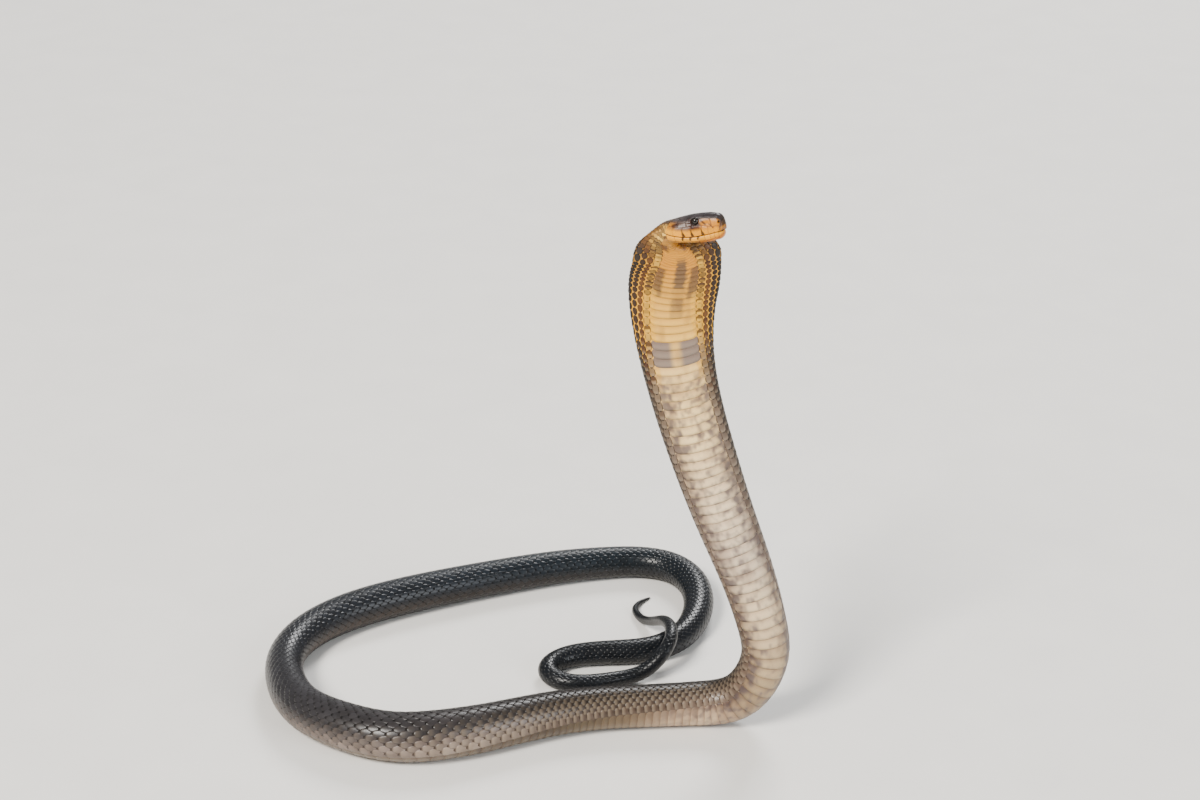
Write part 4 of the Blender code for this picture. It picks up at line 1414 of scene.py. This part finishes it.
# %% [markdown]
# Two more numbers go onto the shields: `bar` for the black bars over the joints of the lips,
# which also paints the nostrils dark as shade, and `mark` for the brown marks before and behind the
# eye.
# %% Bars, marks, and a shield laid on the head
SHIELD_RISE = 0.24
RISE_INSIDE = [-0.02, 0.02, 0.1, 0.3, 1.2]
RISE_SHARES = np.array([-0.8, 0.1, 0.7, 0.92, 1.0])
UPPER_BARS = [16.4, 24.4, 31.2]
LOWER_BARS = [20.4, 26.3, 32.2]
FACE_MARKS = [([(26.2, 0.37), (25.8, 0.52), (23.2, 0.69)], 0.9),
              ([(18.2, 0.41), (16.0, 0.50), (13.6, 0.62)], 0.75),
              ([(10.6, 0.61), (7.8, 0.77)], 0.4), ([(35.4, 0.60), (38.4, 0.64)], 1.5),
              ([(46.0, 0.74), (46.6, 0.86)], 0.7)]


def bars_over(joints, back, lean, wide, on_lip):
    """1 on leaning bars over the joints of one lip."""
    near = [np.clip(1.9 - 1.4 * np.abs(back - joint - lean) / wide, 0, 1) for joint in joints]
    return np.max(near, axis=0) * on_lip


def black_bars(back, down):
    """1 on the short black bars across the joints of the lip shields."""
    upper = bars_over(UPPER_BARS, back, 6 * (0.88 - down),
                      0.25 + 0.9 * np.clip((down - 0.8) / 0.12, 0, 1), (down > 0.74) & (down < 1.01))
    lower = bars_over(LOWER_BARS, back, 5 * (down - 1.08),
                      0.25 + 0.85 * np.clip((1.22 - down) / 0.16, 0, 1),
                      (down > 1.01) & (down < 1.22))
    return np.maximum(upper, lower)


def face_marks(back, down):
    """1 on the brown lines before and behind the eye, and on the spots of the cheek."""
    marks = np.zeros_like(back)
    spot = np.stack([back, down * CHART_WIDTH], axis=1)
    for path, wide in FACE_MARKS:
        path = np.array(path) * (1, CHART_WIDTH)
        for start, step in zip(path, np.diff(path, axis=0)):
            share = np.clip((spot - start) @ step / (step @ step), 0, 1)
            away = np.linalg.norm(spot - start - share[:, None] * step, axis=1)
            marks = np.maximum(marks, np.clip(1.5 - away / wide, 0, 1))
    return marks


def dress_shield(mesh, back, down, inside, tone):
    """Lays a flat shield on the head and stores what its colours need."""
    turn = np.interp(np.abs(down), LIP_DOWNS[::-1], LIP_SHARES[::-1])
    turn = np.where(down < 0, 2 - turn, turn)
    places = on_head(back, turn, np.interp(inside, RISE_INSIDE, RISE_SHARES * SHIELD_RISE))
    write_places(mesh, places)
    from_nostril = np.hypot(back - NOSTRIL_BACK, 0.8 * ((places - SNOUT_TIP) @ UP - NOSTRIL_UP))
    # Painted shade: the shields round the nostril pit are darkened with the colour of the bars.
    painted_nostril_shade = np.clip((0.95 - from_nostril) / 0.3, 0, 1)
    down = np.abs(down)
    write_values(mesh, along=back * MM, down=down, edge=np.clip(inside / 0.9, 0, 1),
                 bar=np.maximum(black_bars(back, down), painted_nostril_shade), mark=face_marks(back, down),
                 tone=np.full(len(back), tone))
    spots = np.stack([0.02 + 0.96 * back / HEAD_LENGTH, 0.02 + 0.48 * turn], axis=1)
    write_map(mesh, spots[counted(mesh.loops, "vertex_index")])
    shield_meshes.append(mesh)


shield_meshes = []
for outline, sides in shields:
    for sign in sides:
        mesh, back, down, inside = cut_grid(outline)
        dress_shield(mesh, back, sign * down, inside, rng.random())
print("shields laid:", len(shield_meshes))

# %% [markdown]
# The rostral shield wraps the snout between the lips, and the mental shield does the same on
# the chin. Their outlines are not convex on the chart, so they are whole grids that are bent:
# the columns run round the tip, and the rows go back from it to the shield's limit.
# %% Lay the rostral and the mental shield
WRAP_ROWS = 8
WRAPPED = [(60, SNOUT_START + 0.03, (1.55, 1.65, 0.0), (0.0, 0.985), 0.5),
           (40, CHIN_SETBACK - 0.08, (4.5, 1.9, 1.04), (2.0, 1.04), 0.4)]

for columns, start, (least, more, lip), downs, tone in WRAPPED:
    mesh = as_mesh(grid_shape(columns, WRAP_ROWS), "wrapped")
    round_tip, share, _ = places_of(mesh).T
    down = np.interp(np.abs(round_tip), [0, 1], downs)
    limit = least + more * (down - lip) ** 2
    back = start + (limit - start) * (share + 1) / 2
    inside = np.minimum((limit - back) * 0.9, np.abs(downs[1] - down) * 16) + 0.02
    dress_shield(mesh, back, down * np.where(round_tip < 0, -1, 1), inside, tone)
print("shields with rostral and mental:", len(shield_meshes))

# %% [markdown]
# The shields are shiny plates with a soft edge. Their rims are darker, the crown has a faint
# mottle, and each shield differs a little in tone.
# %% Material of the shields, and one object for all of them
shield_material, tree, output = new_material("head shields")
grain = placed(grain_group, Fineness=1500.0)
colour = lit(placed(head_colours)["Color"], scaled(reads("tone"), 0.24, 0.88))
colour = darker(fades(grain["Height"], 0.62, 0.4), colour, (0.82, 0.8, 0.78, 1))
paler_low = scaled(fades(reads("down"), 0.66, 0.76), -0.55, 1.0)
rim = times(fades(reads("edge"), 0.3, 0.04), 0.8, paler_low)
colour = darker(rim, colour, (0.3, 0.22, 0.2, 1))
surface(output, {"Base Color": colour, "Roughness": scaled(grain["Height"], 0.2, 0.22),
                 "Normal": bumps(grain["Height"], 0.12), "Specular IOR Level": 0.25})

joined = bmesh.new()
for mesh in shield_meshes:
    joined.from_mesh(mesh)
head_shields = add_piece("head_shields", as_mesh(joined, "head_shields"), shield_material)
print("head shield faces:", len(head_shields.data.polygons))

# %% [markdown]
# ## Small scales of the throat
# Under the jaw, behind the chin shields, the throat has rows of small smooth scales. They are
# laid with the same template, in staggered rows.
# %% Lay the throat scales
GULAR_LENGTH = 2.9
GULAR_ROWS = 7
GULAR_EDGE = [(23, 0.24), (38, 0.26), (46, 0.36), (52, 0.34), (60, 0.28)]
gulars = []
for row in range(-GULAR_ROWS, GULAR_ROWS + 1):
    for at in np.arange(23.5, 60.0, GULAR_LENGTH) + (GULAR_LENGTH / 2 if row % 2 else 0):
        edge = read_line(GULAR_EDGE, at)
        gulars.append((at, row / (GULAR_ROWS + 0.5) * edge, edge / GULAR_ROWS))
at, turn, wide = np.array(gulars).T
laid = (at - 2.2, at + 2.2, np.mod(turn, 2), wide * 0.98, np.full(len(at), 0.26),
        rng.random(len(at)))
lay_scales("throat_scales", back_scale, laid, belly_material)

# %% [markdown]
# ## The eyes
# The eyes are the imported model's own spheres, and only their finish changes. A cobra's eye has
# a round pupil and a very dark brown iris with a thin paler ring. It is covered by a clear
# scale, so it shines like wet glass. The rings are drawn by the angle to the eye's own axis.
# %% Material of the eyes
IRIS = [(0.55, 16, 13, 12), (0.68, 34, 25, 18), (0.8, 46, 33, 20), (0.858, 78, 58, 32),
        (0.872, 5, 5, 6)]


def vectors(operation, *values):
    """A Vector Math node's results."""
    return add("VectorMath", dict(enumerate(values)), operation=operation).outputs


for name, sign in (("eye_left", 1), ("eye_right", -1)):
    centre = in_head(EYE_BACK, EYE_UP, sign * EYE_OUT) * MM
    axis = unit(LEFT * sign * 0.95 + FORWARD * 0.26 + UP * 0.1)
    eye_material, tree, output = new_material("cobra " + name.replace("_", " "))
    from_centre = vectors('SUBTRACT', object_place(), centre.tolist())[0]
    outward = vectors('NORMALIZE', from_centre)[0]
    facing = vectors('DOT_PRODUCT', outward, axis.tolist())["Value"]
    fibres = noise(outward, 14.0, 4.0)
    colour = darker(fades(fibres, 0.65, 0.3), ramp_of(facing, IRIS), (0.55, 0.5, 0.5, 1))
    surface(output, {"Base Color": colour, "Roughness": scaled(fibres, 0.05, 0.06),
                     "Normal": outward})
    for slot in bpy.data.objects[name].material_slots:
        slot.material = eye_material
print("eyes finished")

# %% [markdown]
# ## Floor, light and camera
# The model stands on a pale floor under three broad soft lights, as in a museum. The camera
# looks down by twenty-five degrees from where the photograph was taken.
# %% Floor, light and camera
floor_material, tree, output = new_material("pale floor")
dust = noise(object_place(), 14.0, 5.0)
colour = blends(dust, seen(228, 226, 222), seen(236, 234, 230))
surface(output, {"Base Color": colour, "Roughness": 0.7})
floor = in_scene("floor", as_mesh(grid_shape(1, 1, 9), "floor"))
floor.data.materials.append(floor_material)


def area_light(name, place, aim_height, size, watts, colour):
    """A square soft light at a place, turned towards the middle of the model."""
    data = bpy.data.lights.new(name, 'AREA')
    data.shape, data.size = 'SQUARE', size
    data.energy, data.color = watts, colour
    lamp = in_scene(name, data)
    lamp.location = place
    aim = Vector((0, 0, aim_height)) - Vector(place)
    lamp.rotation_euler = aim.to_track_quat('-Z', 'Y').to_euler()


area_light("key_light", (-3.4, -3.9, 5.4), 0.1, 2.4, 980, (1.0, 0.96, 0.9))
area_light("fill_light", (4.4, -3.4, 2.4), 0.15, 3.0, 240, (0.92, 0.96, 1.0))
area_light("rim_light", (1.5, 4.8, 4.2), 0.15, 2.2, 380, (1.0, 1.0, 1.0))
world = bpy.data.worlds.new("studio")
world.use_nodes = True
background = world.node_tree.nodes["Background"].inputs
background["Color"].default_value = (0.88, 0.88, 0.89, 1)
background["Strength"].default_value = 0.4
bpy.context.scene.world = world

camera_data = bpy.data.cameras.new("camera")
camera_data.lens, camera_data.sensor_width = 72, 36
camera = in_scene("camera", camera_data)
camera.location = (0.0671, -1.8428, 1.1171)
camera.rotation_euler = (radians(65), 0, 0)
bpy.context.scene.camera = camera
print("camera at", tuple(camera.location))
